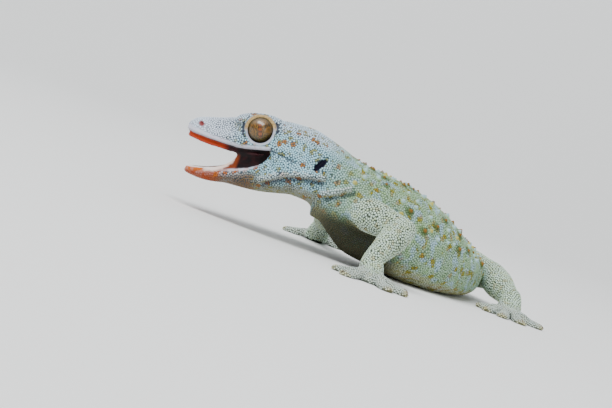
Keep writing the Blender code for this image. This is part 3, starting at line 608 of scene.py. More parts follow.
def sort_faces(obj):
    """Orders the faces by their points, because a cut leaves them in an order that differs between runs."""
    faces = [list(face.vertices) for face in obj.data.polygons]
    starts = [face.index(min(face)) for face in faces]
    faces = sorted(face[start:] + face[:start] for face, start in zip(faces, starts))
    mesh = bpy.data.meshes.new(obj.name)
    mesh.from_pydata(read_points(obj.data), [], faces)
    obj.data = mesh


def remesh(obj, size):
    modifier = obj.modifiers.new("cells", "REMESH")
    modifier.mode = "VOXEL"
    modifier.voxel_size = size
    modifier.use_smooth_shade = True
    apply_modifiers(obj)


def join(name, pieces):
    """One object with the meshes of all the pieces, which are removed."""
    mesh = bmesh.new()
    for piece in pieces:
        mesh.from_mesh(piece.data)
        discard(piece)
    return add_object(name, mesh)


def discard(*pieces):
    for piece in pieces:
        bpy.data.objects.remove(piece)


def tree_of(obj):
    return BVHTree.FromObject(obj, bpy.context.evaluated_depsgraph_get())


def read(items, key, width, kind=np.float64):
    """The values of all items of a mesh, a row for each."""
    values = np.empty(len(items) * width, kind)
    items.foreach_get(key, values)
    return values.reshape(-1, width)


def read_points(mesh):
    return read(mesh.vertices, "co", 3)


def read_normals(mesh):
    return read(mesh.vertex_normals, "vector", 3)


def write_points(mesh, points):
    mesh.vertices.foreach_set("co", points.ravel())
    mesh.update()


def read_edges(mesh):
    return read(mesh.edges, "vertices", 2, np.int64)


def relax(points, edges, weight, rounds):
    """Moves each point towards the middle of its neighbours, by its weight."""
    count = np.maximum(np.bincount(edges.ravel(), minlength=len(points)), 1)[:, None]
    near, far = edges.T
    for _ in range(rounds):
        sums = [np.bincount(near, column[far], len(points)) + np.bincount(far, column[near], len(points))
                for column in points.T]
        points = points + weight[:, None] * (np.stack(sums, axis=1) / count - points)
    return points


def line_distance(points, line):
    """The distance of each point to a line of straight stretches, in any number of axes."""
    best = np.full(len(points), np.inf)
    for start, end in zip(np.asarray(line)[:-1], np.asarray(line)[1:]):
        run = end - start
        share = np.clip((points - start) @ run / (run @ run), 0.0, 1.0)
        best = np.minimum(best, np.linalg.norm(points - start - share[:, None] * run, axis=1))
    return best


def ease(low, high, values):
    """A smooth step from 0 at low to 1 at high."""
    share = np.clip((values - low) / (high - low), 0.0, 1.0)
    return share * share * (3 - 2 * share)


def place_matrix():
    """From the frame of the tables in millimetres to the row's frame in metres."""
    low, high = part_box("eye_left")
    shift = (low + high) / 2 - Vector((EYE_AT[0], -EYE_AT[1], EYE_AT[2])) * MM
    return Matrix.Translation(shift) @ Matrix.Scale(MM, 4)


PLACE = place_matrix()


# The skin's shape

def cheek_lining():
    """The soft walls that close the sides of the mouth in front of its corners, with the throat behind."""
    half = blend(LINING, np.linspace(0, 1, 80))
    other = half[-2::-1] * np.array([1, -1, 1, 1])
    stations = np.vstack([half, other])
    last = len(stations) - 1
    rings = []
    for i, (x, y, low, high) in enumerate(stations):
        run = stations[min(i + 1, last), :2] - stations[max(i - 1, 0), :2]
        shift = np.array([-run[1], run[0], 0.0]) / np.linalg.norm(run) * 0.5
        wall = np.column_stack([np.full(14, x), np.full(14, y), np.linspace(low, high, 14)])
        rings.append(np.vstack([wall + shift, wall[::-1] - shift]))
    return add_object("cheek lining", ring_surface(rings))


def head_forms():
    """The closed forms that make up the head, and those that are cut from it once they are one."""
    head = straight_loft("head form", HEAD, 90, 72)
    jaw = straight_loft("jaw form", JAW, 70, 56)
    mouth = straight_loft("mouth form", MOUTH, 48, 40)
    cut(head, [mouth])
    cut(jaw, [mouth])
    lining = cheek_lining()
    inside = [tree_of(mouth), tree_of(lining)]
    discard(mouth)
    forms = [head, jaw, lining]
    hollows = []
    for sign in (-1, 1):
        x, y, z = EYE_AT
        for name, (along, aside, high), size, turn in SWELLINGS:
            forms.append(ellipsoid(name, (along, sign * aside, high), size, turn))
        forms.append(rim("lid", (x, sign * LID_Y, z), LID_RADIUS, LID_WIDTH, (0, sign, 0.12)))
        hollows.append(ellipsoid("socket", (x, sign * (y + EYE_OUT), z), (EYE_RADIUS - 0.1,) * 3))
        hollows.append(ellipsoid("opening", (x, sign * (y + EYE_OUT + 4), z), EYE_OPENING))
        x, z = EAR_AT
        y = sign * side_of_section(HEAD, x, z)
        turn = Matrix.Rotation(-EAR_TILT, 3, "Y")
        hollows.append(ellipsoid("ear cup", (x, y, z), EAR_SIZE, turn))
        oval = EAR_SIZE[2] + EAR_FOLD, EAR_SIZE[0] + EAR_FOLD
        forms.append(rim("ear fold", (x, y - sign * EAR_FOLD, z), 1.0, 0.42, (0.3, sign, 0.3),
                         oval, sign * (math.pi / 2 - EAR_TILT)))
        x, z = NOSTRIL_AT
        y = sign * side_of_section(HEAD, x, z)
        hollows.append(ellipsoid("nostril", (x, y, z), NOSTRIL_SIZE))
        forms.append(rim("nostril edge", (x, y - sign * 0.05, z), 0.82, 0.3, (-0.5, sign, 0.2)))
    for line, size in zip(lip_lines(), LIP_RADII):
        taper = np.sin(np.linspace(0.12, math.pi - 0.12, len(line))) ** 0.4
        forms.append(tube("lip", line, size * taper))
    return forms, hollows, inside


def toe_run(degrees):
    """The way a toe points, seen from above."""
    return np.array([-math.sin(math.radians(degrees)), -math.cos(math.radians(degrees))])


def left_of(run):
    return np.array([-run[1], run[0]])


def hand_forms(name):
    """The palm, toes and webs of one hand or foot."""
    wrist, sole = (np.array(joint[:2]) for joint in LIMBS[name][2:])
    along = (sole - wrist) / np.linalg.norm(sole - wrist)
    across = left_of(along)
    stations = np.linspace(PALM[0][0], PALM[-1][0], 30)
    rings = [section(wrist + along * station, across, row, round_angles(28))
             for station, row in zip(stations, blend(PALM, stations))]
    forms = [add_object("palm", ring_surface(rings))]
    runs = []
    for degrees, length in TOES[name]:
        run = toe_run(degrees)
        runs.append((run, length))
        shares = np.linspace(0, 1, 34)
        rings = [section(sole + run * length * share, left_of(run), row, round_angles(20))
                 for share, row in zip(shares, blend(TOE, shares))]
        forms.append(add_object("toe", ring_surface(rings)))
    for (run, length), (other, other_length) in zip(runs, runs[1:]):
        if run @ other < 0.1:
            continue
        corners = []
        for way in (run * length * WEB_SHARE, other * other_length * WEB_SHARE,
                    (run + other) / 2 * length * WEB_MIDDLE, (run + other) * 0.5):
            corners += [(*(sole + way), level) for level in WEB_LEVELS]
        forms.append(hull("web", corners))
    return forms


def limb_forms(name):
    root, bend, wrist, _ = LIMBS[name]
    upper, lower = (UPPER_ARM, FOREARM) if name.startswith("arm") else (THIGH, SHIN)
    return [limb_segment("upper limb", root, bend, upper), limb_segment("lower limb", bend, wrist, lower),
            *hand_forms(name)]


def spine_samples():
    """Plan positions along the middle of the head, body and tail, and the distance at each."""
    distance = np.arange(-45.0, BODY_END + 0.5, 0.5)
    along, _, x, y = SPINE
    plan = np.column_stack([np.interp(distance, along, x), np.interp(distance, along, y)])
    ahead = distance < 0
    plan[ahead] = np.column_stack([NECK_X + distance[ahead], np.zeros(ahead.sum())])
    return distance, plan


def along_body(points):
    """How far behind the head each point lies, below 0 on the head."""
    distance, plan = spine_samples()
    nearest = np.empty(len(points))
    for start in range(0, len(points), 20000):
        block = points[start:start + 20000, :2]
        gap = ((block[:, None, :] - plan[None, :, :]) ** 2).sum(axis=2)
        nearest[start:start + 20000] = distance[gap.argmin(axis=1)]
    return nearest


def surface_gap(trees, points, reach):
    """The distance of each point to the nearest of the surfaces, no more than the reach."""
    gaps = np.full(len(points), reach)
    for tree in trees:
        for i, point in enumerate(points):
            found = tree.find_nearest(point, reach)
            if found[3] is not None and found[3] < gaps[i]:
                gaps[i] = found[3]
    return gaps


def limb_gap(points, name):
    return line_distance(points, LIMBS[name])


def shape_relief(mesh):
    """Folds, grooves and soft unevenness of the skin."""
    points, normals = read_points(mesh), read_normals(mesh)
    along = along_body(points)
    limb = np.minimum.reduce([limb_gap(points, name) for name in LIMBS])
    flat = points[:, [0, 2]]
    sides = ease(0.15, 0.5, np.abs(normals[:, 1])) * (along < 14) * ease(3.0, 6.0, np.abs(points[:, 1]))
    out = np.zeros(len(points))
    for line, width, height in FOLDS:
        gap = line_distance(flat, line)
        out += settings().skin.relief * height * np.exp(-(gap / width) ** 2) * sides
    x, y, z = points.T
    reach = np.hypot(x - EYE_AT[0], z - EYE_AT[2])
    orbit = (np.abs(y) > ORBIT_Y) * (reach < ORBIT_REACH)
    orbit = orbit * (np.abs(x - EYE_AT[0]) > np.abs(z - EYE_AT[2]))
    radius, width, depth = LID_GROOVE
    out -= depth * np.exp(-((reach - radius) / width) ** 2) * orbit
    body = ease(4, 16, along) * ease(6.0, 8.0, limb)
    wave = np.sin(0.9 * x + 1.3 * y) * np.sin(1.1 * z + 0.7 * x) + np.sin(0.55 * y - 0.8 * z + 0.4 * x)
    out += UNEVENNESS * wave * body
    tail = ease(VENT, VENT + 12, along) * ease(0.2, 0.6, normals[:, 2])
    spacing, height = TAIL_RINGS
    out += height * tail * np.cos(along * 2 * math.pi / spacing) * ease(BODY_END, 190, along)
    bends = [np.linalg.norm(points - np.array(joints[1]), axis=1) for joints in LIMBS.values()]
    out += CREASES * ease(5.5, 3.5, np.minimum.reduce(bends)) * np.sin(2.6 * x + 2.2 * z + 1.5 * y)
    write_points(mesh, points + normals * out[:, None])


def join_weight(points):
    """Where limbs leave the body, and where the throat meets the neck, the skin is smoothed most."""
    weight = np.zeros(len(points))
    for name, (root, bend, wrist, _) in LIMBS.items():
        for joint, size in ((root, ROOT_REACH[name[:3]]), (bend, BEND_REACH), (wrist, WRIST_REACH)):
            gap = np.linalg.norm(points - np.array(joint), axis=1)
            weight = np.maximum(weight, ease(size * 1.5, size * 0.7, gap))
    throat = np.abs(points[:, 0] - THROAT_X)
    weight = np.maximum(weight, ease(4.5, 2.0, throat) * ease(17.5, 15.0, points[:, 2]))
    neck = ease(5.0, 1.0, np.abs(points[:, 0] - NECK_X)) * (np.abs(points[:, 1]) < 15)
    return 0.5 * np.maximum(weight, neck)


def press_flat(mesh, points):
    """Writes the points, with none below the floor."""
    points[:, 2] = np.maximum(points[:, 2], 0.0)
    write_points(mesh, points)


def build_skin():
    forms, hollows, inside = head_forms()
    forms.append(body_loft("body form", -3.0, BODY_END, 300, 72))
    for name in LIMBS:
        forms += limb_forms(name)
    trunk = tree_of(forms[0]), tree_of(next(f for f in forms if f.name.startswith("body form")))
    skin = join("skin", forms)
    size = settings().skin.voxel
    remesh(skin, size)
    cut(skin, hollows)
    discard(*hollows)
    remesh(skin, size)
    mesh = skin.data
    points, edges = read_points(mesh), read_edges(mesh)
    points = relax(points, edges, np.full(len(points), 0.5), 3)
    points = relax(points, edges, join_weight(points), settings().skin.blending)
    write_points(mesh, points)
    shape_relief(mesh)
    press_flat(mesh, relax(read_points(mesh), edges, np.full(len(points), 0.4), 1))
    fewer = skin.modifiers.new("fewer triangles", "DECIMATE")
    fewer.ratio = min(1.0, settings().skin.triangles / (2 * len(mesh.polygons)))
    fewer.use_collapse_triangulate = True
    apply_modifiers(skin)
    press_flat(skin.data, read_points(skin.data))
    unwrap(skin)
    mark_regions(skin, inside, trunk)
    return skin


def unwrap(obj):
    obj.data.uv_layers.new(name="OFBake")
    bpy.context.view_layer.objects.active = obj
    obj.select_set(True)
    bpy.ops.object.mode_set(mode="EDIT")
    bpy.ops.mesh.select_all(action="SELECT")
    bpy.ops.uv.smart_project(angle_limit=math.radians(70), island_margin=0.0008)
    bpy.ops.object.mode_set(mode="OBJECT")
    obj.select_set(False)


# Where the skin changes

# Each mark is 0 at the first value and 1 at the second, in millimetres, or by how far the skin faces up.
FADES = {
    "limb": (0.6, 2.4),
    "belly": (-0.45, -0.85),
    "flesh": (0.6, 0.3),
    "crest": (0.6, 0.35),
    "crest back": (-47.6, -48.2),
    "crest top": (20.6, 19.6),
    "crest edge": (1.5, 1.0),
    "gum": (1.3, 1.0),
    "gum depth": (0.3, 0.05),
    "palate": (-0.3, -0.6),
    "off the lip": (0.7, 1.0),
    "inner lip": (0.7, 0.9),
    "lip": (1.0, 0.62),
    "upper lid": (4.95, 4.6),
    "lower lid": (4.5, 4.2),
    "ochre": (-0.6, 1.2),
    "socket": (3.78, 3.6),
    "crescent": (0.4, 0.15),
    "crescent end": (2.3, 1.2),
    "ear": (0.0, -0.5),
    "nostril": (0.95, 0.6),
    "ridge_highlight": (0.9, 0.3),
}

# Boxes round the mouth, the front corners of its lining and the inside of the lower lip.
MOUTH_BOX = ((-63, -13, 10.5), (-32, 13, 26))
CORNER_BOX = ((-50, -13, 20.6), (-47.2, 13, 22.3))
LOWER_LIP_BOX = ((-70, -11.5, -1), (-44, 11.5, 19))
WALL_REACH = 3.0
CORNER_X = -39.5
PALATE_TOP = 25
ALONG_UNIT = 250

# The folds that carry painted shade, with how dark and how wide the shade is, and those that carry a painted
# highlight.
SHADED_FOLDS = ((0, 0.7, 0.5), (3, 0.62, 0.95), (6, 0.5, 0.8))
HIGHLIT_FOLDS = (2, 5)


def toe_share(points, name):
    """How far along its toe each point lies, from 0 at the sole to 1 at the tip."""
    sole = np.array(LIMBS[name][3][:2])
    share = np.zeros(len(points))
    for degrees, length in TOES[name]:
        run = toe_run(degrees)
        offset = points[:, :2] - sole
        ahead = offset @ run / length
        aside = np.abs(offset @ left_of(run))
        share = np.where((aside < 2.6) & (points[:, 2] < 4) & (ahead > share) & (ahead < 1.2), ahead, share)
    return share


def write_vector(mesh, name, columns):
    attribute = mesh.attributes.new(name, "FLOAT_VECTOR", "POINT")
    attribute.data.foreach_set("vector", np.column_stack(columns).astype(np.float32).ravel())


def write_number(mesh, name, values):
    attribute = mesh.attributes.new(name, "FLOAT", "POINT")
    attribute.data.foreach_set("value", np.asarray(values, np.float32))


def fade(name, values):
    return ease(*FADES[name], values)


def inside_box(points, box):
    low, high = box
    return ((points > low) & (points < high)).all(axis=1)


def mouth_marks(points, normals, inside):
    """The lips, bare flesh, gum and inner edge of the lower lip, and where the mouth has no scales."""
    x, _, z = points.T
    box = np.flatnonzero(inside_box(points, MOUTH_BOX))
    hollow, lining = np.full((2, len(points)), WALL_REACH)
    hollow[box] = surface_gap(inside[:1], points[box], WALL_REACH)
    lining[box] = surface_gap(inside[1:], points[box], WALL_REACH)
    upper = z > gape_line(x)
    wall_x, wall_top = np.array(LINING)[:, [1, 4]].T
    crest = fade("crest", lining) * fade("crest back", x) * fade("crest top", z)
    crest = crest * fade("crest edge", np.interp(x, wall_x, wall_top) - z)
    flesh = fade("flesh", np.minimum(hollow, lining)) * (1 - crest)
    upper_lip, lower_lip, gum_line = lip_lines()
    edge = np.minimum(line_distance(points, upper_lip), line_distance(points, lower_lip))
    gum = fade("gum", line_distance(points, gum_line)) * fade("gum depth", z - blend(HEAD, x)[:, 0])
    palate = fade("palate", normals[:, 2]) * upper * (x < CORNER_X) * (z < PALATE_TOP)
    roof = np.maximum(palate, inside_box(points, CORNER_BOX)) * fade("off the lip", edge)
    flesh = np.maximum(flesh, roof * (1 - gum))
    inner_lip = fade("inner lip", normals[:, 2]) * ~upper * inside_box(points, LOWER_LIP_BOX)
    inner_lip = np.maximum(inner_lip, crest)
    lip = fade("lip", edge) * (1 - flesh)
    bare = (flesh > 0.15) | (edge < 0.85) | (gum > 0.3) | (inner_lip > 0.3) | (hollow < 0.5)
    return lip, flesh, gum, inner_lip, bare


def gape_line(x):
    """The level that parts the upper jaw from the lower one."""
    return 15.0 + (x + 61.0) * JAW_SLOPE


def eye_marks(x, y, z):
    """The lids, their ochre upper part, and painted shade in the socket round the eyeball and in crescents in
    the groove beside the lids.
    """
    a, b = x - EYE_AT[0], z - EYE_AT[2]
    reach = np.hypot(a, b)
    roll = settings().stage.roll
    high = b * math.cos(roll) - a * math.sin(roll)
    aside = a * math.cos(roll) + b * math.sin(roll)
    orbit = (np.abs(y) > ORBIT_Y) * (reach < ORBIT_REACH)
    lid = orbit * np.where(high > 0, fade("upper lid", reach), fade("lower lid", reach))
    crescent = orbit * fade("crescent", np.abs(reach - 5.05)) * fade("crescent end", np.abs(high - 0.6))
    crescent = 0.75 * crescent * (np.abs(aside) > 3)
    return lid, lid * fade("ochre", high), np.maximum(orbit * fade("socket", reach), crescent)


def ear_shade(x, y, z, along):
    """Painted shade inside the ear."""
    turn = np.array([[math.cos(EAR_TILT), math.sin(EAR_TILT)], [-math.sin(EAR_TILT), math.cos(EAR_TILT)]])
    oval = np.column_stack([x - EAR_AT[0], z - EAR_AT[1]]) @ turn.T / (EAR_SIZE[0] + 0.1, EAR_SIZE[2] + 0.1)
    depth = np.abs(y) - side_at(x, z)
    return (np.hypot(*oval.T) < 1.0) * (np.abs(y) > 9) * (along < 2) * fade("ear", depth)


def fold_marks(points, along):
    """Painted shade in the grooves and painted highlights on the ridges, on the sides of the head and neck.
    """
    flat = points[:, [0, 2]]
    head_side = (np.abs(points[:, 1]) > 7) * (along < 10)
    fold_shade = np.maximum.reduce([depth * ease(width, 0.2, line_distance(flat, FOLDS[n][0]))
                                for n, depth, width in SHADED_FOLDS])
    ridge_highlight = np.maximum.reduce([fade("ridge_highlight", line_distance(flat, FOLDS[n][0])) for n in HIGHLIT_FOLDS])
    return fold_shade * head_side, ridge_highlight * head_side


def mark_regions(skin, inside, trunk):
    """Writes on the skin what its material and its scales go by."""
    mesh = skin.data
    points, normals = read_points(mesh), read_normals(mesh)
    x, y, z = points.T
    along = along_body(points)
    gaps = np.stack([limb_gap(points, name) for name in LIMBS])
    close = np.flatnonzero(gaps.min(axis=0) < 14)
    off = np.zeros(len(points))
    off[close] = surface_gap(trunk, points[close], 6.0)
    limb = fade("limb", off)
    toe = np.maximum.reduce([toe_share(points, name) for name in LIMBS]) * (limb > 0.5)
    belly = fade("belly", normals[:, 2]) * (1 - 0.6 * limb)
    lip, flesh, gum, inner_lip, bare = mouth_marks(points, normals, inside)
    lid, ochre, dark = eye_marks(x, y, z)
    dark = np.maximum(dark, ear_shade(x, y, z, along))
    nostril = np.hypot((x - NOSTRIL_AT[0]) * 0.9, z - NOSTRIL_AT[1])
    nostril = fade("nostril", nostril) * (x < -58) * (z > 23)
    fold_shade, ridge_highlight = fold_marks(points, along)
    bare |= (dark > 0.3) | (z < 0.45) | (lid > 0.55) | (nostril > 0.02)
    write_vector(mesh, "region_a", (limb, toe, belly))
    write_vector(mesh, "region_b", (lip, flesh, gum))
    # The second value of region c is painted shade: in the eye sockets, the lid grooves, the ears and the
    # fold grooves.
    write_vector(mesh, "region_c", (ochre, np.maximum(dark, fold_shade), along / ALONG_UNIT))
    write_vector(mesh, "region_d", (lid, nostril, inner_lip))
    write_number(mesh, "ridge_highlight", ridge_highlight)
    throat = z < np.where(x < CORNER_X, gape_line(x), 17.5)
    group = np.select([limb > 0.45, along > VENT + 2, along > 46, along > -1, throat, x < -46.5],
                      [6 + gaps.argmin(axis=0), 5, 4, 3, 2, 0], 1)
    apart = np.array([coat[2] for coat in COATS])[group]
    apart = np.where((toe > 0.05) & (limb > 0.45), 0.6, apart)
    apart = relax(apart[:, None], read_edges(mesh), np.full(len(points), 0.5), 12)[:, 0]
    write_number(mesh, "group", np.where(bare, -1, group))
    write_number(mesh, "apart", apart * MM)


def side_at(x, z):
    """Half the width of the head at many places."""
    low, wide, top, half_width, low_power, top_power, taper = blend(HEAD, x).T
    upper = z > wide
    share = np.clip(np.where(upper, (z - wide) / (top - wide), (wide - z) / (wide - low)), 0, 0.999)
    power = np.where(upper, top_power, low_power)
    return half_width * (1 - share**power) ** (1 / power) * np.where(upper, 1 - taper * share, 1.0)


# Each coat of scales: name, the record's slot and the distance between scales.
COATS = (
    ("scales_snout", "head_skin", 0.68),
    ("scales_head", "head_skin", 0.7),
    ("scales_jaw", "jaw_skin", 0.68),
    ("scales_shoulders", "body_skin", 0.76),
    ("scales_trunk", "body_skin", 0.8),
    ("scales_tail", "tail_skin", 0.82),
    ("scales_arm_left", "limb_skin", 0.8),
    ("scales_arm_right", "limb_skin", 0.8),
    ("scales_leg_left", "limb_skin", 0.8),
    ("scales_leg_right", "limb_skin", 0.8),
)


# Nodes

class Number:
    """A node socket that takes part in arithmetic."""

    def __init__(self, graph, socket):
        self.graph = graph
        self.socket = socket

    def _math(self, operation, *operands):
        values = dict(enumerate(operands))
        return self.graph.add("ShaderNodeMath", {"operation": operation}, values).out(0)

    def __add__(self, other):
        return self._math("ADD", self, other)

    def __sub__(self, other):
        return self._math("SUBTRACT", self, other)

    def __rsub__(self, other):
        return self._math("SUBTRACT", other, self)

    def __mul__(self, other):
        return self._math("MULTIPLY", self, other)

    def __truediv__(self, other):
        return self._math("DIVIDE", self, other)

    __radd__ = __add__
    __rmul__ = __mul__

    def wave(self):
        return self._math("SINE", self)

    def size(self):
        return self._math("ABSOLUTE", self)

    def step(self, low, high):
        """A smooth step from 0 at low to 1 at high, which may lie the other way round."""
        ends = {"From Min": min(low, high), "From Max": max(low, high),
                "To Min": float(low > high), "To Max": float(low < high)}
        return self.graph.add("ShaderNodeMapRange", {"interpolation_type": "SMOOTHSTEP"},
                              {"Value": self, **ends}).out("Result")

    def zone(self, name):
        return self.step(*ZONES[name])


class Node:
    def __init__(self, graph, node):
        self.graph = graph
        self.node = node

    def out(self, key):
        return Number(self.graph, self.node.outputs[key])


class Graph:
    """A node tree, and the one way in which nodes are added to it."""

    def __init__(self, tree):
        self.tree = tree
        tree.nodes.clear()

    def add(self, kind, choices=None, inputs=None):
        """A node of a kind, its choices set first and then the values or links of its inputs."""
        node = self.tree.nodes.new(kind)
        for name, value in (choices or {}).items():
            setattr(node, name, value)
        for key, value in (inputs or {}).items():
            self.set(node.inputs[key], value)
        return Node(self, node)

    def set(self, socket, value):
        if isinstance(value, Number):
            self.tree.links.new(value.socket, socket)
        elif isinstance(value, tuple) and socket.type == "RGBA" and len(value) == 3:
            socket.default_value = (*value, 1.0)
        else:
            socket.default_value = value

    def attribute(self, name, output="Vector"):
        return self.add("ShaderNodeAttribute", {"attribute_name": name}).out(output)

    def named(self, name, kind="FLOAT_VECTOR"):
        """An attribute of the points, in geometry nodes."""
        return self.add("GeometryNodeInputNamedAttribute", {"data_type": kind}, {"Name": name}).out(0)

    def object_place(self):
        return self.add("ShaderNodeTexCoord").out("Object")

    def millimetres(self, vector):
        return self.vector_math("SCALE", vector, scale=1 / MM)

    def parts(self, vector):
        node = self.add("ShaderNodeSeparateXYZ", None, {0: vector})
        return [node.out(i) for i in range(3)]

    def vector_math(self, operation, *operands, scale=None):
        inputs = dict(enumerate(operands))
        if scale is not None:
            inputs["Scale"] = scale
        return self.add("ShaderNodeVectorMath", {"operation": operation}, inputs).out(0)

    def length(self, vector):
        return self.add("ShaderNodeVectorMath", {"operation": "LENGTH"}, {0: vector}).out("Value")

    def mix(self, share, first, second):
        """Two colours mixed, by the numbers of the sockets, because their names repeat."""
        return self.add("ShaderNodeMix", {"data_type": "RGBA"}, {0: share, 6: first, 7: second}).out(2)

    def paint(self, base, *layers):
        """Lays tints over a base, each by its own share."""
        for share, tint in layers:
            base = self.mix(share, base, TINTS[tint] if isinstance(tint, str) else tint)
        return base

    def noise(self, place, scale, detail=2.0, output="Fac"):
        inputs = {"Vector": place, "Scale": scale, "Detail": detail}
        return self.add("ShaderNodeTexNoise", None, inputs).out(output)

    def spots(self, place, kind):
        """Round spots, 1 inside and 0 between them."""
        spacing, radius, soft = SPOTS[kind]
        inputs = {"Vector": place, "Scale": 1 / spacing, "Randomness": 0.85}
        distance = self.add("ShaderNodeTexVoronoi", None, inputs).out("Distance")
        return distance.step((radius + soft) / spacing, (radius - soft) / spacing)

    def finish(self, colour, roughness, bump=None, **constants):
        """Joins a Principled shader to the output. The constants are set on its own sockets."""
        shader = self.add("ShaderNodeBsdfPrincipled", None, {"Base Color": colour, "Roughness": roughness})
        for name, value in constants.items():
            shader.node.inputs[name.replace("_", " ")].default_value = value
        if bump is not None:
            inputs = dict(zip(("Height", "Strength", "Distance"), bump))
            self.set(shader.node.inputs["Normal"], self.add("ShaderNodeBump", None, inputs).out("Normal"))
        self.add("ShaderNodeOutputMaterial", None, {"Surface": shader.out("BSDF")})


def new_material(name, colour):
    material = bpy.data.materials.new(name)
    material.use_nodes = True
    material.diffuse_color = (*colour, 1.0)
    return material


# Tints of the markings that the sidebar doesn't offer, in display levels.
TINTS = {name: srgb(*levels) for name, levels in {
    "mottle": (122, 148, 130),
    "tail band": (206, 220, 226),
    "tail gap": (86, 104, 104),
    # Painted shade on the chest, where the arm shades it.
    "chest_shade": (40, 30, 8),
    # Painted shade on the underside of the head.
    "under_head_shade": (112, 98, 66),
    # Painted shade on the throat below the jaw fold.
    "throat": (126, 126, 88),
    # Painted shade along the lower edge of the lower jaw.
    "lower jaw shade": (112, 80, 52),
    "jaw high": (200, 176, 172),
    "chin": (152, 56, 0),
    "blotch": (176, 92, 0),
    # Painted shade lines that stand for the wrinkles before the eye.
    "wrinkle_shade": (96, 106, 122),
    "halo": (66, 86, 42),
    # Painted highlight on the pale ridges of the folds.
    "ridge_highlight": (214, 222, 218),
    "toe tip": (204, 190, 112),
    "brown foot": (66, 84, 30),
    "brown tip": (130, 82, 4),
    "yellow tip": (176, 164, 74),
    "pale tip": (158, 190, 200),
    "tail tubercle": (190, 178, 150),
    "scale top": (206, 228, 238),
    # The colours between scales: partly the darker skin there, partly painted shade.
    "between on body": (40, 58, 44),
    "between on limb": (42, 50, 34),
    "between on chin": (128, 58, 12),
    "lip": (190, 188, 202),
    "lip of chin": (190, 96, 16),
    "brow pale": (190, 164, 116),
    "brow dark": (152, 122, 70),
    "lid": (168, 172, 184),
    "inner lip front": (232, 218, 212),
    "inner lip back": (222, 190, 172),
    "gum front": (160, 48, 10),
    "gum back": (46, 10, 14),
    "flesh dark": (10, 1, 3),
    "flesh red": (34, 6, 8),
    "cheek skin": (112, 46, 14),
    "nostril": (128, 58, 58),
    # Painted shade in the eye sockets, the lid grooves, the ears and the fold grooves.
    "dark": (36, 36, 58),
}.items()}

# Where markings fade, each 0 at the first value and 1 at the second: millimetres along X or Z, behind the
# head or from the eye, levels of the slanted lines along the jaw, or shares of a noise, wave or height.
ZONES = {
    "body": (-7, 8),
    "tail": (88, 104),
    "hand": (0.02, 0.35),
    "toe tip": (0.84, 1.0),
    "snout": (-46, -54),
    "crown": (28.5, 32.0),
    "mottle": (0.35, 0.65),
    "patches": (0.5, 0.68),
    "bands": (0.15, 0.6),
    "chest top": (16.0, 10.5),
    "chest front": (-25.0, -18.0),
    "chest back": (9.0, 1.0),
    "under_head_shade": (-17, -24),
    "throat top": (19.0, 14.5),
    "throat front": (-50, -42),
    "spots front": (-57, -46),
    "jaw top": (35.6, 34.6),
    "jaw back": (-38.5, -43),
    "lower jaw shade": (33.2, 31.6),
    "jaw high": (31.0, 33.0),
    "jaw high back": (-42, -48),
    "ruddy": (0.4, 0.6),
    "chin": (-49, -54.5),
    "chin edge": (0.1, 0.5),
    "blotches": (-0.1, 0.5),
    "blotches top": (43.6, 43.0),
    "blotches low": (41.3, 41.9),
    "blotches front": (-54.5, -53.0),
    "blotches back": (-39.5, -41.0),
    "wrinkles": (0.2, 0.9),
    "wrinkles back": (-46, -49),
    "wrinkles top": (29.4, 28.0),
    "wrinkles near": (5.3, 6.0),
    "wrinkles far": (11.5, 8.5),
    "coloured tubercle": (0.44, 0.48),
    "yellow tubercle": (0.8, 0.84),
    "brown tip": (0.15, 0.8),
    "yellow tip": (0.1, 0.6),
    "pale tip": (0.0, 0.8),
    "foot": (0.0, 0.2),
    "marked": (0.1, 0.6),
    "snout tip": (-56, -61),
    "scale rim": (0.8, 0.24),
    "lip of chin": (-47, -54),
    "brow": (0.3, 0.7),
    "inner lip": (-56, -48),
    "gum": (-53.4, -50.6),
    "flesh": (0.4, 0.7),
    "cheek skin front": (-46.7, -47.8),
    "cheek skin top": (20.4, 18.6),
}

# Spots: the distance between them, their radius and the half width of their soft edge.
SPOTS = {"small": (2.1, 0.66, 0.18), "soft": (3.2, 0.9, 0.3), "orange": (3.5, 0.82, 0.14)}


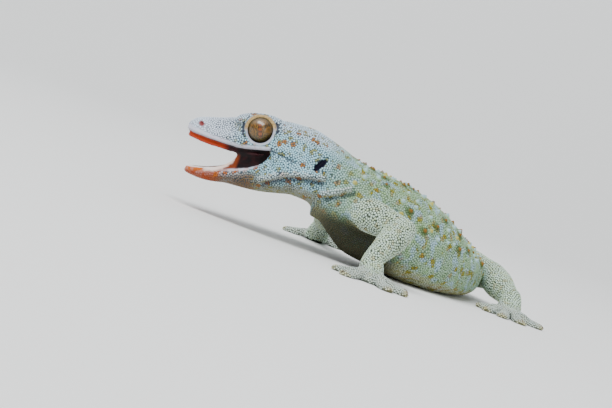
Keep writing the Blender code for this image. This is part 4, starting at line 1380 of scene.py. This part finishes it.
class Marks:
    """What the material of the skin and scales goes by, as sockets."""

    def __init__(self, g):
        placed = g.millimetres(g.attribute("place"))
        self.place = g.vector_math("SUBTRACT", placed, tuple(PLACE.translation / MM))
        self.x, _, self.z = g.parts(self.place)
        self.limb, toe, self.belly = g.parts(g.attribute("region_a"))
        self.lip, self.flesh, self.gum = g.parts(g.attribute("region_b"))
        self.ochre, self.dark, along = g.parts(g.attribute("region_c"))
        self.lid, self.nostril, self.inner_lip = g.parts(g.attribute("region_d"))
        self.crown, self.tone, self.halo, self.ridge_highlight = (
            g.attribute(name, "Fac") for name in ("crown", "tone", "halo", "ridge_highlight"))
        shift = g.vector_math("SCALE", g.noise(self.place, 0.9, 2.0, "Color"), scale=0.9)
        self.warped = g.vector_math("ADD", self.place, shift)
        self.distance = along * ALONG_UNIT
        self.body = self.distance.zone("body") * (1 - self.limb)
        self.tail = self.distance.zone("tail")
        self.hand = toe.zone("hand")
        self.toe_tip = toe.zone("toe tip")
        # The chest mask holds painted shade, where the arm shades the chest.
        self.chest_shade = (1 - self.limb) * self.z.zone("chest top")
        self.chest_shade = self.chest_shade * self.x.zone("chest front") * self.x.zone("chest back")
        # The throat mask holds painted shade below the jaw fold.
        self.throat = self.z.zone("throat top") * (1 - self.body) * (1 - self.limb)
        self.throat = self.throat * self.x.zone("throat front")
        spotted = self.x.zone("spots front") * (1 - self.hand)
        self.small = g.spots(self.warped, "small") * spotted
        self.soft = g.spots(self.warped, "soft")
        self.orange = g.spots(g.vector_math("ADD", self.warped, (17.0, 5.0, 9.0)), "orange") * spotted
        self.rise = self.z - self.x * JAW_SLOPE
        self.jaw_side = self.rise.zone("jaw top") * self.x.zone("jaw back")
        self.ruddy = g.noise(self.place, 0.7, 2.0).zone("ruddy")
        self.chin = self.jaw_side * self.x.zone("chin") * (self.ruddy * 0.25 + 0.75)
        slant = self.z - self.x * 0.58
        blotches = (g.parts(self.warped)[0] * 2.4).wave().zone("blotches")
        blotches = blotches * slant.zone("blotches top") * slant.zone("blotches low")
        self.blotches = blotches * self.x.zone("blotches front") * self.x.zone("blotches back")


def ground_colour(g, m, colour):
    """The colours of head, body, limbs, tail and underside, with painted shade on the chest, under the head
    and on the throat.
    """
    body, tail, x = m.body, m.tail, m.x
    bands = (m.distance / 9.5 * math.pi).wave().zone("bands") * tail
    return g.paint(
        g.mix(x.zone("snout"), colour["cheek"], colour["snout"]),
        (m.z.zone("crown") * 0.7, colour["snout"]),
        (body, colour["body"]),
        (m.limb, colour["limb"]),
        (g.noise(m.place, 0.16, 3.0).zone("mottle") * 0.35 * body, "mottle"),
        (g.noise(m.warped, 0.36, 1.0).zone("patches") * body * 0.75, colour["blue"]),
        (bands * 0.6, "tail band"),
        (tail * (1 - bands) * 0.45, "tail gap"),
        (m.belly * 0.75, colour["belly"]),
        (m.chest_shade * 0.95, "chest_shade"),
        (m.belly * x.zone("under_head_shade") * 0.7, "under_head_shade"),
        (m.throat * 0.6, "throat"))


def markings(g, m, base, colour):
    """Spots, the blotched lower jaw with painted shade on its lower edge, painted shade lines for the
    wrinkles before the eye, the dark round tubercles, painted highlights on the fold ridges, and the toe
    tips.
    """
    body, jaw_side, rise, x = m.body, m.jaw_side, m.rise, m.x
    olive = m.small * (1 - body) * (1 - m.limb * 0.8) * 0.85 + m.soft * body * 0.95
    off_eye = g.vector_math("SUBTRACT", m.place, (EYE_AT[0], 0.0, EYE_AT[2]))
    reach = g.length(g.vector_math("MULTIPLY", off_eye, (1.0, 0.0, 1.0)))
    # The wrinkles before the eye are painted shade lines, with no relief.
    wrinkled = x.zone("wrinkles back") * m.z.zone("wrinkles top")
    wrinkled = wrinkled * reach.zone("wrinkles near") * reach.zone("wrinkles far")
    return g.paint(
        base,
        (olive * (1 - m.chest_shade), colour["olive"]),
        (m.orange * (0.95 - m.limb * 0.6) * (1 - body * 0.55) * (1 - m.chest_shade), colour["orange"]),
        # Painted shade on the lower edge of the jaw.
        (jaw_side * rise.zone("lower jaw shade") * 0.85, "lower jaw shade"),
        (jaw_side * rise.zone("jaw high") * x.zone("jaw high back") * 0.6, "jaw high"),
        (m.chin, "chin"),
        (m.blotches * 0.95, "blotch"),
        ((reach * 7.0).wave().zone("wrinkles") * wrinkled * 0.6, "wrinkle_shade"),
        (m.halo * body * 0.7, "halo"),
        (m.ridge_highlight * 0.6, "ridge_highlight"),
        (m.hand * 0.8, colour["foot"]),
        (m.toe_tip * 0.8, "toe tip"))


def tubercle_colour(g, m, base, colour):
    """Pale blue, orange-brown and yellow tubercles with painted shade at their feet, and how much of their
    own colour shows.
    """
    crown, tone = m.crown, m.tone
    brown = g.mix(crown.zone("brown tip"), TINTS["brown foot"], TINTS["brown tip"])
    yellow = g.mix(crown.zone("yellow tip"), colour["body"], TINTS["yellow tip"])
    pale = g.mix(crown.zone("pale tip"), colour["body"], TINTS["pale tip"])
    own = g.mix(tone.zone("coloured tubercle"), pale, g.mix(tone.zone("yellow tubercle"), brown, yellow))
    return g.paint(base, (0.9, own), (m.tail * 0.8, "tail tubercle")), crown.zone("foot") * 0.3 + 0.7


def scale_colour(g, m, base):
    """Scales are paler on top where they have no marking, with painted shade on their lower rims, and how
    much of their own colour shows.
    """
    body, chin = m.body, m.chin
    marked = m.small + m.orange + m.soft * body + chin + m.blotches + m.chest_shade + m.halo
    marked = (marked + m.jaw_side * 0.35 + m.throat * 0.3).zone("marked")
    pale = (m.tone * 0.34 + 0.06) * m.crown.zone("foot") * (1 - marked) * (1 - body * 0.5)
    strength = 0.94 - body * 0.3 - m.hand * 0.1 - m.x.zone("snout tip") * 0.45 - chin * 0.5
    shade = 1 - m.crown.zone("scale rim") * strength * (1 - m.lip) * (1 - m.lid)
    return g.paint(base, (pale, "scale top")), shade


def bare_colour(g, m, base):
    """The lips, lids, gum, the flesh of the mouth, the nostrils, and painted shade in the eye sockets, the
    lid grooves, the ears and the fold grooves.
    """
    x = m.x
    ruddy_lip = m.jaw_side * x.zone("lip of chin") * (m.ruddy * 0.2 + 0.8)
    brow = g.mix(g.noise(m.place, 2.0, 2.0).zone("brow"), TINTS["brow pale"], TINTS["brow dark"])
    flesh = g.mix(g.noise(m.place, 0.5, 3.0).zone("flesh"), TINTS["flesh dark"], TINTS["flesh red"])
    flesh = g.mix(x.zone("cheek skin front") * m.z.zone("cheek skin top"), flesh, TINTS["cheek skin"])
    return g.paint(
        base,
        (m.lip * 0.85, g.mix(ruddy_lip, TINTS["lip"], TINTS["lip of chin"])),
        (m.lid, g.mix(m.ochre, TINTS["lid"], brow)),
        (m.inner_lip, g.mix(x.zone("inner lip"), TINTS["inner lip front"], TINTS["inner lip back"])),
        (m.gum, g.mix(x.zone("gum"), TINTS["gum front"], TINTS["gum back"])),
        (m.flesh, flesh),
        (m.nostril, "nostril"),
        (m.dark, "dark"))


def gecko_material(name, tubercle=False):
    """Skin and scales: markings by place, darker between the scales, partly from darker skin and partly from
    painted shade, and bare flesh in the mouth.
    """
    tints = settings().colour
    colour = {key: tuple(getattr(tints, key)) for key, *_ in COLOURS}
    material = new_material(name, tints.body)
    g = Graph(material.node_tree)
    m = Marks(g)
    base = markings(g, m, ground_colour(g, m, colour), colour)
    if tubercle:
        base, shade = tubercle_colour(g, m, base, colour)
    else:
        base, shade = scale_colour(g, m, base)
    # Painted shade between the scales, on their lower rims and at the feet of the tubercles, over partly
    # darker skin.
    between = g.paint(colour["shadow"], (m.body, "between on body"), (m.limb * 0.85, "between on limb"),
                      (m.chin.zone("chin edge"), "between on chin"))
    base = bare_colour(g, m, g.mix(shade, between, base))
    rough = 0.52 + m.flesh * 0.3 - m.gum * 0.2 + m.body * 0.06
    fine = g.noise(m.place, 3.2, 3.0)
    g.finish(base, rough, (fine, 0.35, 0.12 * MM), Specular_IOR_Level=0.22)
    return material


# Scales and tubercles

# A scale and a tubercle of unit size: the radius and height of each level, and how far up the crown it is.
SCALE = ((1.0, -0.5, 0.0), (0.8, 0.53, 0.54), (0.0, 1.0, 1.0))
TUBERCLE = ((1.15, -0.5, 0.0), (1.0, 0.0, 0.05), (0.78, 0.3, 0.35), (0.4, 0.72, 0.75), (0.14, 1.0, 0.95),
            (0.0, 1.05, 1.0))

# Rows of tubercles on the body and on the tail: where they start and end, the gap between them, the first
# and last angle round the body, the step, how far every second row is turned, and the size. On the body
# only a share of the places has one, and none stands close to a limb.
TUBERCLE_ROWS = ((5.4, WARTED, 1.95, 14, 167, 14, 7, 1.0), (94.5, 222.0, 6.6, 22, 160, 19.5, 0, 0.85))
TUBERCLE_SHARE = 0.62
TUBERCLE_CLEAR = 6.0
HALO = (2.0 * MM, 1.0 * MM)

SCALE_RADIUS = 0.61
SCALE_HEIGHT = 0.28


def bead_shape(name, sides, levels):
    """One scale of unit radius. Each level gives the radius, the height and how far up the crown it is."""
    mesh = bmesh.new()
    crown = mesh.verts.layers.float.new("crown")
    rings = []
    for radius, height, share in levels:
        count = sides if radius else 1
        ring = []
        for angle in round_angles(sides)[:count]:
            vert = mesh.verts.new((math.cos(angle) * radius, math.sin(angle) * radius, height))
            vert[crown] = share
            ring.append(vert)
        rings.append(ring)
    mesh.faces.new(rings[0][::-1])
    for near, far in zip(rings, rings[1:]):
        for i in range(sides):
            j = (i + 1) % sides
            end = (far[0],) if len(far) == 1 else (far[j], far[i])
            mesh.faces.new((near[i], near[j], *end))
    return add_object(name, mesh)


def coat_tree():
    """Geometry nodes that stand one shape on each point of a mesh, facing and sized as the point says."""
    tree = bpy.data.node_groups.new("coat", "GeometryNodeTree")
    face = tree.interface
    for name, kind in (("Geometry", "Geometry"), ("Shape", "Object"), ("Radius", "Float"),
                       ("Height", "Float"), ("Seed", "Int"), ("Material", "Material")):
        face.new_socket(name, in_out="INPUT", socket_type="NodeSocket" + kind)
    face.new_socket("Geometry", in_out="OUTPUT", socket_type="NodeSocketGeometry")
    g = Graph(tree)
    given = g.add("NodeGroupInput")
    index = g.add("GeometryNodeInputIndex").out(0)
    spin = g.add("FunctionNodeRandomValue", {"data_type": "FLOAT"},
                 {2: 0.0, 3: 2 * math.pi, "ID": index, "Seed": given.out("Seed")}).out(1)
    upright = g.add("FunctionNodeAlignRotationToVector", {"axis": "Z"}, {"Vector": g.named("facing")}).out(0)
    turn = g.add("FunctionNodeRotateRotation", {"rotation_space": "LOCAL"},
                 {0: upright, 1: g.add("ShaderNodeCombineXYZ", None, {2: spin}).out(0)}).out(0)
    size = g.named("size", "FLOAT")
    shape = g.add("GeometryNodeObjectInfo", None, {"Object": given.out("Shape")})
    wide = given.out("Radius") * size
    scale = g.add("ShaderNodeCombineXYZ", None, {0: wide, 1: wide, 2: given.out("Height") * size}).out(0)
    local = g.add("GeometryNodeStoreNamedAttribute", {"data_type": "FLOAT_VECTOR", "domain": "POINT"},
                  {"Geometry": shape.out("Geometry"), "Name": "local",
                   "Value": g.add("GeometryNodeInputPosition").out(0)})
    stood = g.add("GeometryNodeInstanceOnPoints", None, {"Points": given.out("Geometry"),
                                                         "Instance": local.out("Geometry"),
                                                         "Rotation": turn, "Scale": scale})
    real = g.add("GeometryNodeRealizeInstances", None, {"Geometry": stood.out(0)})
    spread = g.vector_math("SCALE", g.named("local"), scale=PATCH_SIZE)
    patch = g.vector_math("ADD", g.named("OFBake"), spread)
    mapped = g.add("GeometryNodeStoreNamedAttribute", {"data_type": "FLOAT2", "domain": "CORNER"},
                   {"Geometry": real.out(0), "Name": "OFBake", "Value": patch})
    painted = g.add("GeometryNodeSetMaterial", None, {"Geometry": mapped.out("Geometry"),
                                                      "Material": given.out("Material")})
    g.add("NodeGroupOutput", None, {0: painted.out(0)})
    return tree


def grow(name, base, tree, values):
    """Runs a coat's nodes on a base mesh and keeps the result as a plain mesh."""
    modifier = base.modifiers.new("coat", "NODES")
    modifier.node_group = tree
    for item in tree.interface.items_tree:
        if item.in_out == "INPUT" and item.name in values:
            modifier[item.identifier] = values[item.name]
    apply_modifiers(base)
    base.name = base.data.name = name
    marks = base.data.attributes
    for spare in ("local", "facing", "size"):
        if spare in marks:
            marks.remove(marks[spare])
    return base


def keep(obj):
    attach(obj, "root")


def dress(obj, material):
    """Moves a piece from the frame of the tables to its place, with its material."""
    obj.data.transform(PLACE)
    obj.data.update()
    obj.data.materials.append(material)
    keep(obj)


def read_vectors(mesh, name):
    return read(mesh.attributes[name].data, "vector", 3, np.float32)


def read_numbers(mesh, name):
    return read(mesh.attributes[name].data, "value", 1, np.float32)[:, 0]


def read_corners(mesh):
    """The points of each face. All faces of the skin are triangles."""
    return read(mesh.loops, "vertex_index", 1, np.int32).reshape(-1, 3)


def project(tree, places):
    """The nearest places on the skin, the way out at each and its face."""
    places, facing, faces, _ = zip(*(tree.find_nearest(place) for place in places))
    return np.array(places), np.array(facing), np.array(faces)


def finder_of(places):
    finder = KDTree(len(places))
    for i, place in enumerate(places):
        finder.insert(place, i)
    finder.balance()
    return finder


def thin(places, apart):
    """Keeps, of many places in random order, those that no kept one before them is too close to."""
    finder = finder_of(places)
    free = np.ones(len(places), bool)
    kept = []
    for i, place in enumerate(places):
        if free[i]:
            kept.append(i)
            free[[found[1] for found in finder.find_range(place, apart[i])]] = False
    return np.array(kept)


def scale_roots(skin):
    """Even roots for all the scales: thinned random ones, pushed apart by their neighbours."""
    rng = np.random.default_rng(settings().coat.seed)
    mesh = skin.data
    points, corners = read_points(mesh), read_corners(mesh)
    group, apart = read_numbers(mesh, "group"), read_numbers(mesh, "apart") * settings().coat.spacing
    wanted = corners[(group[corners] >= 0).all(axis=1)]
    a, b, c = (points[wanted[:, i]] for i in range(3))
    own = apart[wanted].mean(axis=1)
    share = np.linalg.norm(np.cross(b - a, c - a), axis=1) / (math.sqrt(3) * own**2)
    tries = int(share.sum() * COAT_SAMPLES)
    pick = rng.choice(len(wanted), tries, p=share / share.sum())
    u, v = rng.random((2, tries, 1))
    u, v = np.where(u + v > 1, 1 - u, u), np.where(u + v > 1, 1 - v, v)
    places = a[pick] + u * (b - a)[pick] + v * (c - a)[pick]
    kept = thin(places, own[pick] * COAT_GAP)
    places, reach, count = places[kept], own[pick][kept, None] * COAT_REACH, len(kept)
    tree = tree_of(skin)
    for _ in range(COAT_ROUNDS):
        finder = finder_of(places)
        near = np.array([[found[1] for found in finder.find_n(place, COAT_NEIGHBOURS)] for place in places])
        offset = places[:, None] - places[near]
        gap = np.linalg.norm(offset, axis=2)
        push = np.where(gap > 0, np.maximum(reach - gap, 0) / np.maximum(gap, MM / 1000), 0)
        places, facing, faces = project(tree, places + COAT_PUSH * (offset * push[:, :, None]).sum(axis=1))
    owner = group[corners[faces, 0]]
    kept = owner >= 0
    size = apart[corners[faces, 0]] * rng.uniform(0.9, 1.1, count) * np.where(owner > 5, 0.96, 1.0)
    return places[kept], facing[kept], faces[kept], size[kept], owner[kept]


def root_mesh(skin, places, facing, faces, size, tone):
    """Loose points that carry the marks of the skin, and how each thing on them faces and how large it is."""
    mesh = bpy.data.meshes.new("roots")
    mesh.from_pydata(places.tolist(), [], [])
    source = skin.data
    verts = read_corners(source)[faces, 0]
    for name in ("region_a", "region_b", "region_c", "region_d"):
        write_vector(mesh, name, read_vectors(source, name)[verts].T)
    for name in ("halo", "ridge_highlight"):
        write_number(mesh, name, read_numbers(source, name)[verts])
    flat = read(source.uv_layers["OFBake"].data, "uv", 2, np.float32)[faces * 3]
    write_vector(mesh, "place", places.T)
    write_vector(mesh, "OFBake", (*flat.T, np.zeros(len(flat))))
    write_vector(mesh, "facing", facing.T)
    write_number(mesh, "size", size)
    write_number(mesh, "tone", tone)
    return link("roots", mesh)


def build_coats():
    skin = bpy.data.objects["skin"]
    tree = coat_tree()
    material = gecko_material("gecko_scales")
    coat = settings().coat
    places, facing, faces, size, owner = scale_roots(skin)
    tone = np.random.default_rng(coat.seed).random(len(places))
    shape = bead_shape("scale shape", 6, SCALE)
    for number, (name, slot, _) in enumerate(COATS):
        own = owner == number
        base = root_mesh(skin, places[own], facing[own], faces[own], size[own], tone[own])
        obj = grow(name, base, tree,
                   {"Shape": shape, "Radius": SCALE_RADIUS, "Height": SCALE_HEIGHT * coat.height,
                    "Seed": coat.seed + number, "Material": material})
        keep(obj)
    discard(shape)


def tubercle_roots(skin):
    """Where the large tubercles stand: the place, facing, face of the skin and size of each."""
    rng = np.random.default_rng(settings().coat.seed)
    tree = tree_of(skin)
    inverse = PLACE.inverted()
    rows = [(s, angle, size) for start, end, gap, low, high, step, turn, size in TUBERCLE_ROWS
            for i, s in enumerate(np.arange(start, end, gap))
            for angle in np.radians(np.arange(low + turn * (i % 2), high, step))]
    found = []
    for s, angle, size in rows:
        s += rng.uniform(-0.5, 0.5)
        place, across = body_place(s)
        row = blend(BODY, s)[0]
        point = section(place, across, row, np.array([angle + rng.uniform(-0.05, 0.05)]))[0]
        if rng.uniform() > TUBERCLE_SHARE and s < WARTED:
            continue
        size *= rng.uniform(0.65, 1.15) * min(1.0, 0.35 + row[3] / 12)
        hit, normal, index, _ = tree.find_nearest(PLACE @ Vector(point))
        local = np.array(inverse @ hit)
        if min(limb_gap(local[None], name)[0] for name in LIMBS) > TUBERCLE_CLEAR:
            found.append((hit, (normal + Vector((0, 0, 0.15))).normalized(), index, size))
    return [np.array(column) for column in zip(*found)]


def build_tubercles():
    skin = bpy.data.objects["skin"]
    places, facing, faces, size = tubercle_roots(skin)
    tone = np.random.default_rng(settings().coat.seed).random(len(places))
    finder = finder_of(places[(tone > BROWN_TONES[0]) & (tone < BROWN_TONES[1])])
    gap = np.array([finder.find(point)[2] for point in read_points(skin.data)])
    write_number(skin.data, "halo", ease(*HALO, gap))
    base = root_mesh(skin, places, facing, faces, size, tone)
    shape = bead_shape("tubercle shape", 10, TUBERCLE)
    radius = settings().coat.tubercle
    obj = grow("tubercles", base, coat_tree(),
               {"Shape": shape, "Radius": radius, "Height": radius, "Seed": settings().coat.seed,
                "Material": gecko_material("gecko_tubercles", tubercle=True)})
    discard(shape)
    keep(obj)


# Eyes, tongue and claws

# Tints of the eye.
IRIS = {name: srgb(*levels) for name, levels in {
    "brown": (38, 28, 2),
    "gold": (116, 76, 0),
    "grain": (150, 116, 40),
    "low dark": (34, 34, 10),
    "low pale": (98, 84, 30),
    # Painted reflection of the sky on the top of the iris.
    "top": (164, 142, 118),
    "slit edge": (44, 20, 4),
    "slit": (138, 70, 6),
    "slit line": (40, 18, 8),
    "outer": (48, 44, 22),
    # Painted shade on the eyeball where the lid meets it.
    "rim": (14, 12, 12),
}.items()}


def eye_material():
    """A streaked golden iris with an upright beaded slit, browner low down, with a painted reflection that
    makes it pale at the top and painted shade at its rim under the lid.
    """
    material = new_material("eye_iris", srgb(140, 110, 48))
    g = Graph(material.node_tree)
    gaze = g.attribute("gaze")
    a, b, _ = g.parts(gaze)
    reach = g.length(g.vector_math("MULTIPLY", gaze, (1.0, 1.0, 0.0)))
    streaks = g.noise(g.vector_math("MULTIPLY", gaze, (15.0, 4.0, 4.0)), 1.0, 4.0)
    grain = g.noise(gaze, 13.0, 3.0)
    beads = (b * 20.0).wave()
    inside = a.size() - beads * 0.03
    line = a.size() + beads * 0.02
    band = (b + 0.02).size().step(0.52, 0.4)
    iris = g.paint(
        g.mix(streaks.step(0.38, 0.64), IRIS["brown"], IRIS["gold"]),
        (grain.step(0.52, 0.72) * 0.5, IRIS["grain"]),
        (b.step(0.12, -0.7) * 0.9, g.mix(grain.step(0.45, 0.65), IRIS["low dark"], IRIS["low pale"])),
        (b.step(0.3, 0.75) * 0.5, IRIS["top"]),
        (inside.step(0.16, 0.1) * band * 0.9, IRIS["slit edge"]),
        (inside.step(0.11, 0.06) * band, IRIS["slit"]),
        (line.step(0.045, 0.02) * band * 0.8, IRIS["slit line"]),
        (reach.step(0.62, 0.82) * 0.65, IRIS["outer"]),
        (reach.step(0.82, 0.86), IRIS["rim"]))
    g.finish(iris, 0.3 + grain * 0.1, (streaks, 0.15, 0.05 * MM), Coat_Weight=0.7, Coat_Roughness=0.04,
             Specular_IOR_Level=0.35)
    return material


def build_eyes():
    material = eye_material()
    roll = settings().stage.roll
    for sign, name in ((-1, "eye_ball_left"), (1, "eye_ball_right")):
        mesh = bmesh.new()
        bmesh.ops.create_uvsphere(mesh, u_segments=72, v_segments=48, radius=1.0)
        turn = Matrix.Rotation(math.pi / 2, 4, "X")
        bmesh.ops.transform(mesh, matrix=turn, verts=mesh.verts)
        obj = add_object(name, mesh)
        points = read_points(obj.data)
        along = points[:, 0] * math.cos(roll) + points[:, 2] * math.sin(roll)
        high = -points[:, 0] * math.sin(roll) + points[:, 2] * math.cos(roll)
        write_vector(obj.data, "gaze", (along, high, points[:, 1] * sign))
        x, y, z = EYE_AT
        points = points * EYE_RADIUS + np.array([x, sign * (y + EYE_OUT), z])
        write_points(obj.data, points)
        dress(obj, material)
        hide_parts("eye_left" if sign < 0 else "eye_right")


def flesh_material():
    material = new_material("tongue_flesh", srgb(150, 70, 60))
    g = Graph(material.node_tree)
    place = g.millimetres(g.object_place())
    patches = g.noise(place, 0.6, 3.0)
    buds = g.noise(place, 4.0, 2.0)
    colour = g.mix(patches.step(0.35, 0.65), srgb(146, 62, 52), srgb(196, 122, 100))
    g.finish(colour, 0.3 + buds * 0.15, (buds, 0.4, 0.2 * MM), Coat_Weight=0.4, Coat_Roughness=0.15)
    return material


def build_tongue():
    tongue = straight_loft("tongue_body", TONGUE, 40, 36)
    points = read_points(tongue.data)
    points[:, 2] -= 0.35 * np.exp(-(points[:, 1] / 0.9) ** 2) * ease(-40.5, -46, points[:, 0])
    write_points(tongue.data, points)
    dress(tongue, flesh_material())
    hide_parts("tongue")


def claw_material():
    material = new_material("claw_horn", srgb(70, 58, 46))
    g = Graph(material.node_tree)
    place = g.millimetres(g.object_place())
    grain = g.noise(place, 2.5, 3.0)
    colour = g.mix(grain.step(0.35, 0.65), srgb(58, 46, 38), srgb(128, 108, 84))
    g.finish(colour, 0.28 + grain * 0.1, (grain, 0.2, 0.05 * MM))
    return material


def build_claws():
    """A curved claw over the end of each toe but the first."""
    claws = []
    for name, toes in TOES.items():
        sole = np.array(LIMBS[name][3][:2])
        for degrees, length in toes[1:]:
            run = np.array([*toe_run(degrees), 0.0])
            root = np.array([*sole, 1.15]) + run * length * CLAW_ROOT
            bends = np.linspace(0, 1, 9)
            path = [root + run * CLAW_LENGTH * t
                    + np.array([0, 0, 0.25 * math.sin(t * math.pi) - 0.5 * t * t]) for t in bends]
            claws.append(tube("claw", path, CLAW_RADIUS * (1 - bends) ** 0.8 + 0.03, sides=10))
    obj = join("claws", claws)
    dress(obj, claw_material())


# The stage

PICTURE_WIDTH = 612
PIXELS_PER_MM = 3.45
LENS = 120.0
SENSOR = 36.0
CAMERA_TARGET = Vector((-24.5, -10.0, 13.0))


def floor_material():
    """Paper that grows a little paler up the backdrop, where less light falls on it."""
    material = new_material("floor_paper", srgb(226, 226, 224))
    g = Graph(material.node_tree)
    place = g.object_place()
    height = g.parts(place)[2]
    paper = g.mix(height.step(0.0, 0.5), srgb(240, 241, 240), srgb(250, 251, 251))
    g.finish(g.mix(g.noise(place, 900.0) * 0.03, paper, srgb(200, 200, 196)), 0.85)
    return material


def add_light(name, place, target, size, power):
    data = bpy.data.lights.new(name, "AREA")
    data.shape = "RECTANGLE"
    data.size, data.size_y = size
    data.energy = power
    obj = link(name, data)
    obj.location = place
    obj.rotation_euler = (Vector(target) - Vector(place)).to_track_quat("-Z", "Y").to_euler()


def build_stage():
    """A pale floor that runs up into a backdrop, soft lights, and the camera."""
    flat, curve = 0.7, 1.2
    profile = [(-4.0, 0.0), (flat, 0.0)]
    profile += [(flat + curve * math.sin(a), curve - curve * math.cos(a))
                for a in np.linspace(0.04, math.pi / 2, 32)]
    profile += [(flat + curve, 4.0)]
    mesh = bmesh.new()
    rows = [[mesh.verts.new((x, y, z)) for x in (-5.0, 5.0)] for y, z in profile]
    for near, far in zip(rows, rows[1:]):
        mesh.faces.new((near[0], near[1], far[1], far[0]))
    floor = add_object("floor", mesh)
    floor.data.materials.append(floor_material())
    stage = settings().stage
    middle = PLACE @ Vector((-20, 0, 15))
    add_light("key light", middle + Vector((-0.7, -1.3, 2.3)), middle, (2.4, 1.0), stage.key)
    add_light("fill light", middle + Vector((1.2, -2.4, 0.9)), middle, (1.6, 1.6), stage.fill)
    world = bpy.data.worlds.new("room")
    world.use_nodes = True
    g = Graph(world.node_tree)
    light = g.add("ShaderNodeBackground", None, {"Color": srgb(232, 236, 240), "Strength": stage.world})
    g.add("ShaderNodeOutputWorld", None, {"Surface": light.out(0)})
    bpy.context.scene.world = world
    add_camera(stage)


def add_camera(stage):
    """The camera stands level with the animal and is rolled, so that the head lies as in the picture."""
    distance = PICTURE_WIDTH / PIXELS_PER_MM * MM * LENS / SENSOR
    data = bpy.data.cameras.new("camera")
    data.lens = LENS
    data.sensor_width = SENSOR
    data.clip_start = 0.01
    camera = link("camera", data)
    back = Vector((0, -math.cos(stage.elevation), math.sin(stage.elevation)))
    level = Vector((1, 0, 0))
    right = level * math.cos(stage.roll) + back.cross(level) * math.sin(stage.roll)
    matrix = Matrix((right, back.cross(right), back)).transposed().to_4x4()
    matrix.translation = PLACE @ CAMERA_TARGET + back * distance
    camera.matrix_world = matrix
    bpy.context.scene.camera = camera


# Operators

class GECKO_OT_stage(bpy.types.Operator):
    """Set up the floor, the lights and the camera"""
    bl_idname = "gecko.stage"
    bl_label = "Stage"

    def execute(self, context):
        build_stage()
        return {"FINISHED"}


class GECKO_OT_skin(bpy.types.Operator):
    """Build the skin of the whole animal"""
    bl_idname = "gecko.skin"
    bl_label = "Skin"

    def execute(self, context):
        skin = build_skin()
        skin.data.transform(PLACE)
        write_vector(skin.data, "place", read_points(skin.data).T)
        skin.data.materials.clear()
        skin.data.materials.append(gecko_material("gecko_skin"))
        return {"FINISHED"}


class GECKO_OT_tubercles(bpy.types.Operator):
    """Set the large tubercles in rows along the back and tail"""
    bl_idname = "gecko.tubercles"
    bl_label = "Tubercles"

    def execute(self, context):
        build_tubercles()
        return {"FINISHED"}


class GECKO_OT_scales(bpy.types.Operator):
    """Grow the small scales over the skin"""
    bl_idname = "gecko.scales"
    bl_label = "Scales"

    def execute(self, context):
        build_coats()
        return {"FINISHED"}


class GECKO_OT_eyes(bpy.types.Operator):
    """Build both eyes"""
    bl_idname = "gecko.eyes"
    bl_label = "Eyes"

    def execute(self, context):
        build_eyes()
        return {"FINISHED"}


class GECKO_OT_tongue(bpy.types.Operator):
    """Build the tongue"""
    bl_idname = "gecko.tongue"
    bl_label = "Tongue"

    def execute(self, context):
        build_tongue()
        return {"FINISHED"}


class GECKO_OT_claws(bpy.types.Operator):
    """Build the claws"""
    bl_idname = "gecko.claws"
    bl_label = "Claws"

    def execute(self, context):
        build_claws()
        return {"FINISHED"}


class GECKO_PT_sidebar(bpy.types.Panel):
    bl_label = "Tokay gecko"
    bl_idname = "GECKO_PT_sidebar"
    bl_space_type = "VIEW_3D"
    bl_region_type = "UI"
    bl_category = "Gecko"

    def draw(self, context):
        gecko = context.scene.gecko
        for group in (gecko.skin, gecko.coat, gecko.colour, gecko.stage):
            box = self.layout.box()
            for key in group.bl_rna.properties.keys():
                if key not in ("rna_type", "name"):
                    box.prop(group, key)
        for operator in OPERATORS:
            self.layout.operator(operator.bl_idname)


OPERATORS = (GECKO_OT_stage, GECKO_OT_skin, GECKO_OT_tubercles, GECKO_OT_scales, GECKO_OT_eyes,
             GECKO_OT_tongue, GECKO_OT_claws)
CLASSES = (SkinSettings, CoatSettings, ColourSettings, StageSettings, GeckoSettings, *OPERATORS,
           GECKO_PT_sidebar)


def register():
    for item in CLASSES:
        bpy.utils.register_class(item)
    bpy.types.Scene.gecko = PointerProperty(type=GeckoSettings)


def unregister():
    del bpy.types.Scene.gecko
    for item in reversed(CLASSES):
        bpy.utils.unregister_class(item)


def main():
    register()
    bpy.ops.gecko.stage()
    bpy.ops.gecko.skin()
    bpy.ops.gecko.tubercles()
    bpy.ops.gecko.scales()
    bpy.ops.gecko.eyes()
    bpy.ops.gecko.tongue()
    bpy.ops.gecko.claws()
    skin = bpy.data.objects["skin"]
    for name in ("group", "apart"):
        skin.data.attributes.remove(skin.data.attributes[name])
    keep(skin)
    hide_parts(*(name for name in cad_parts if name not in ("eye_left", "eye_right", "tongue")))


if __name__ == "__main__":
    main()
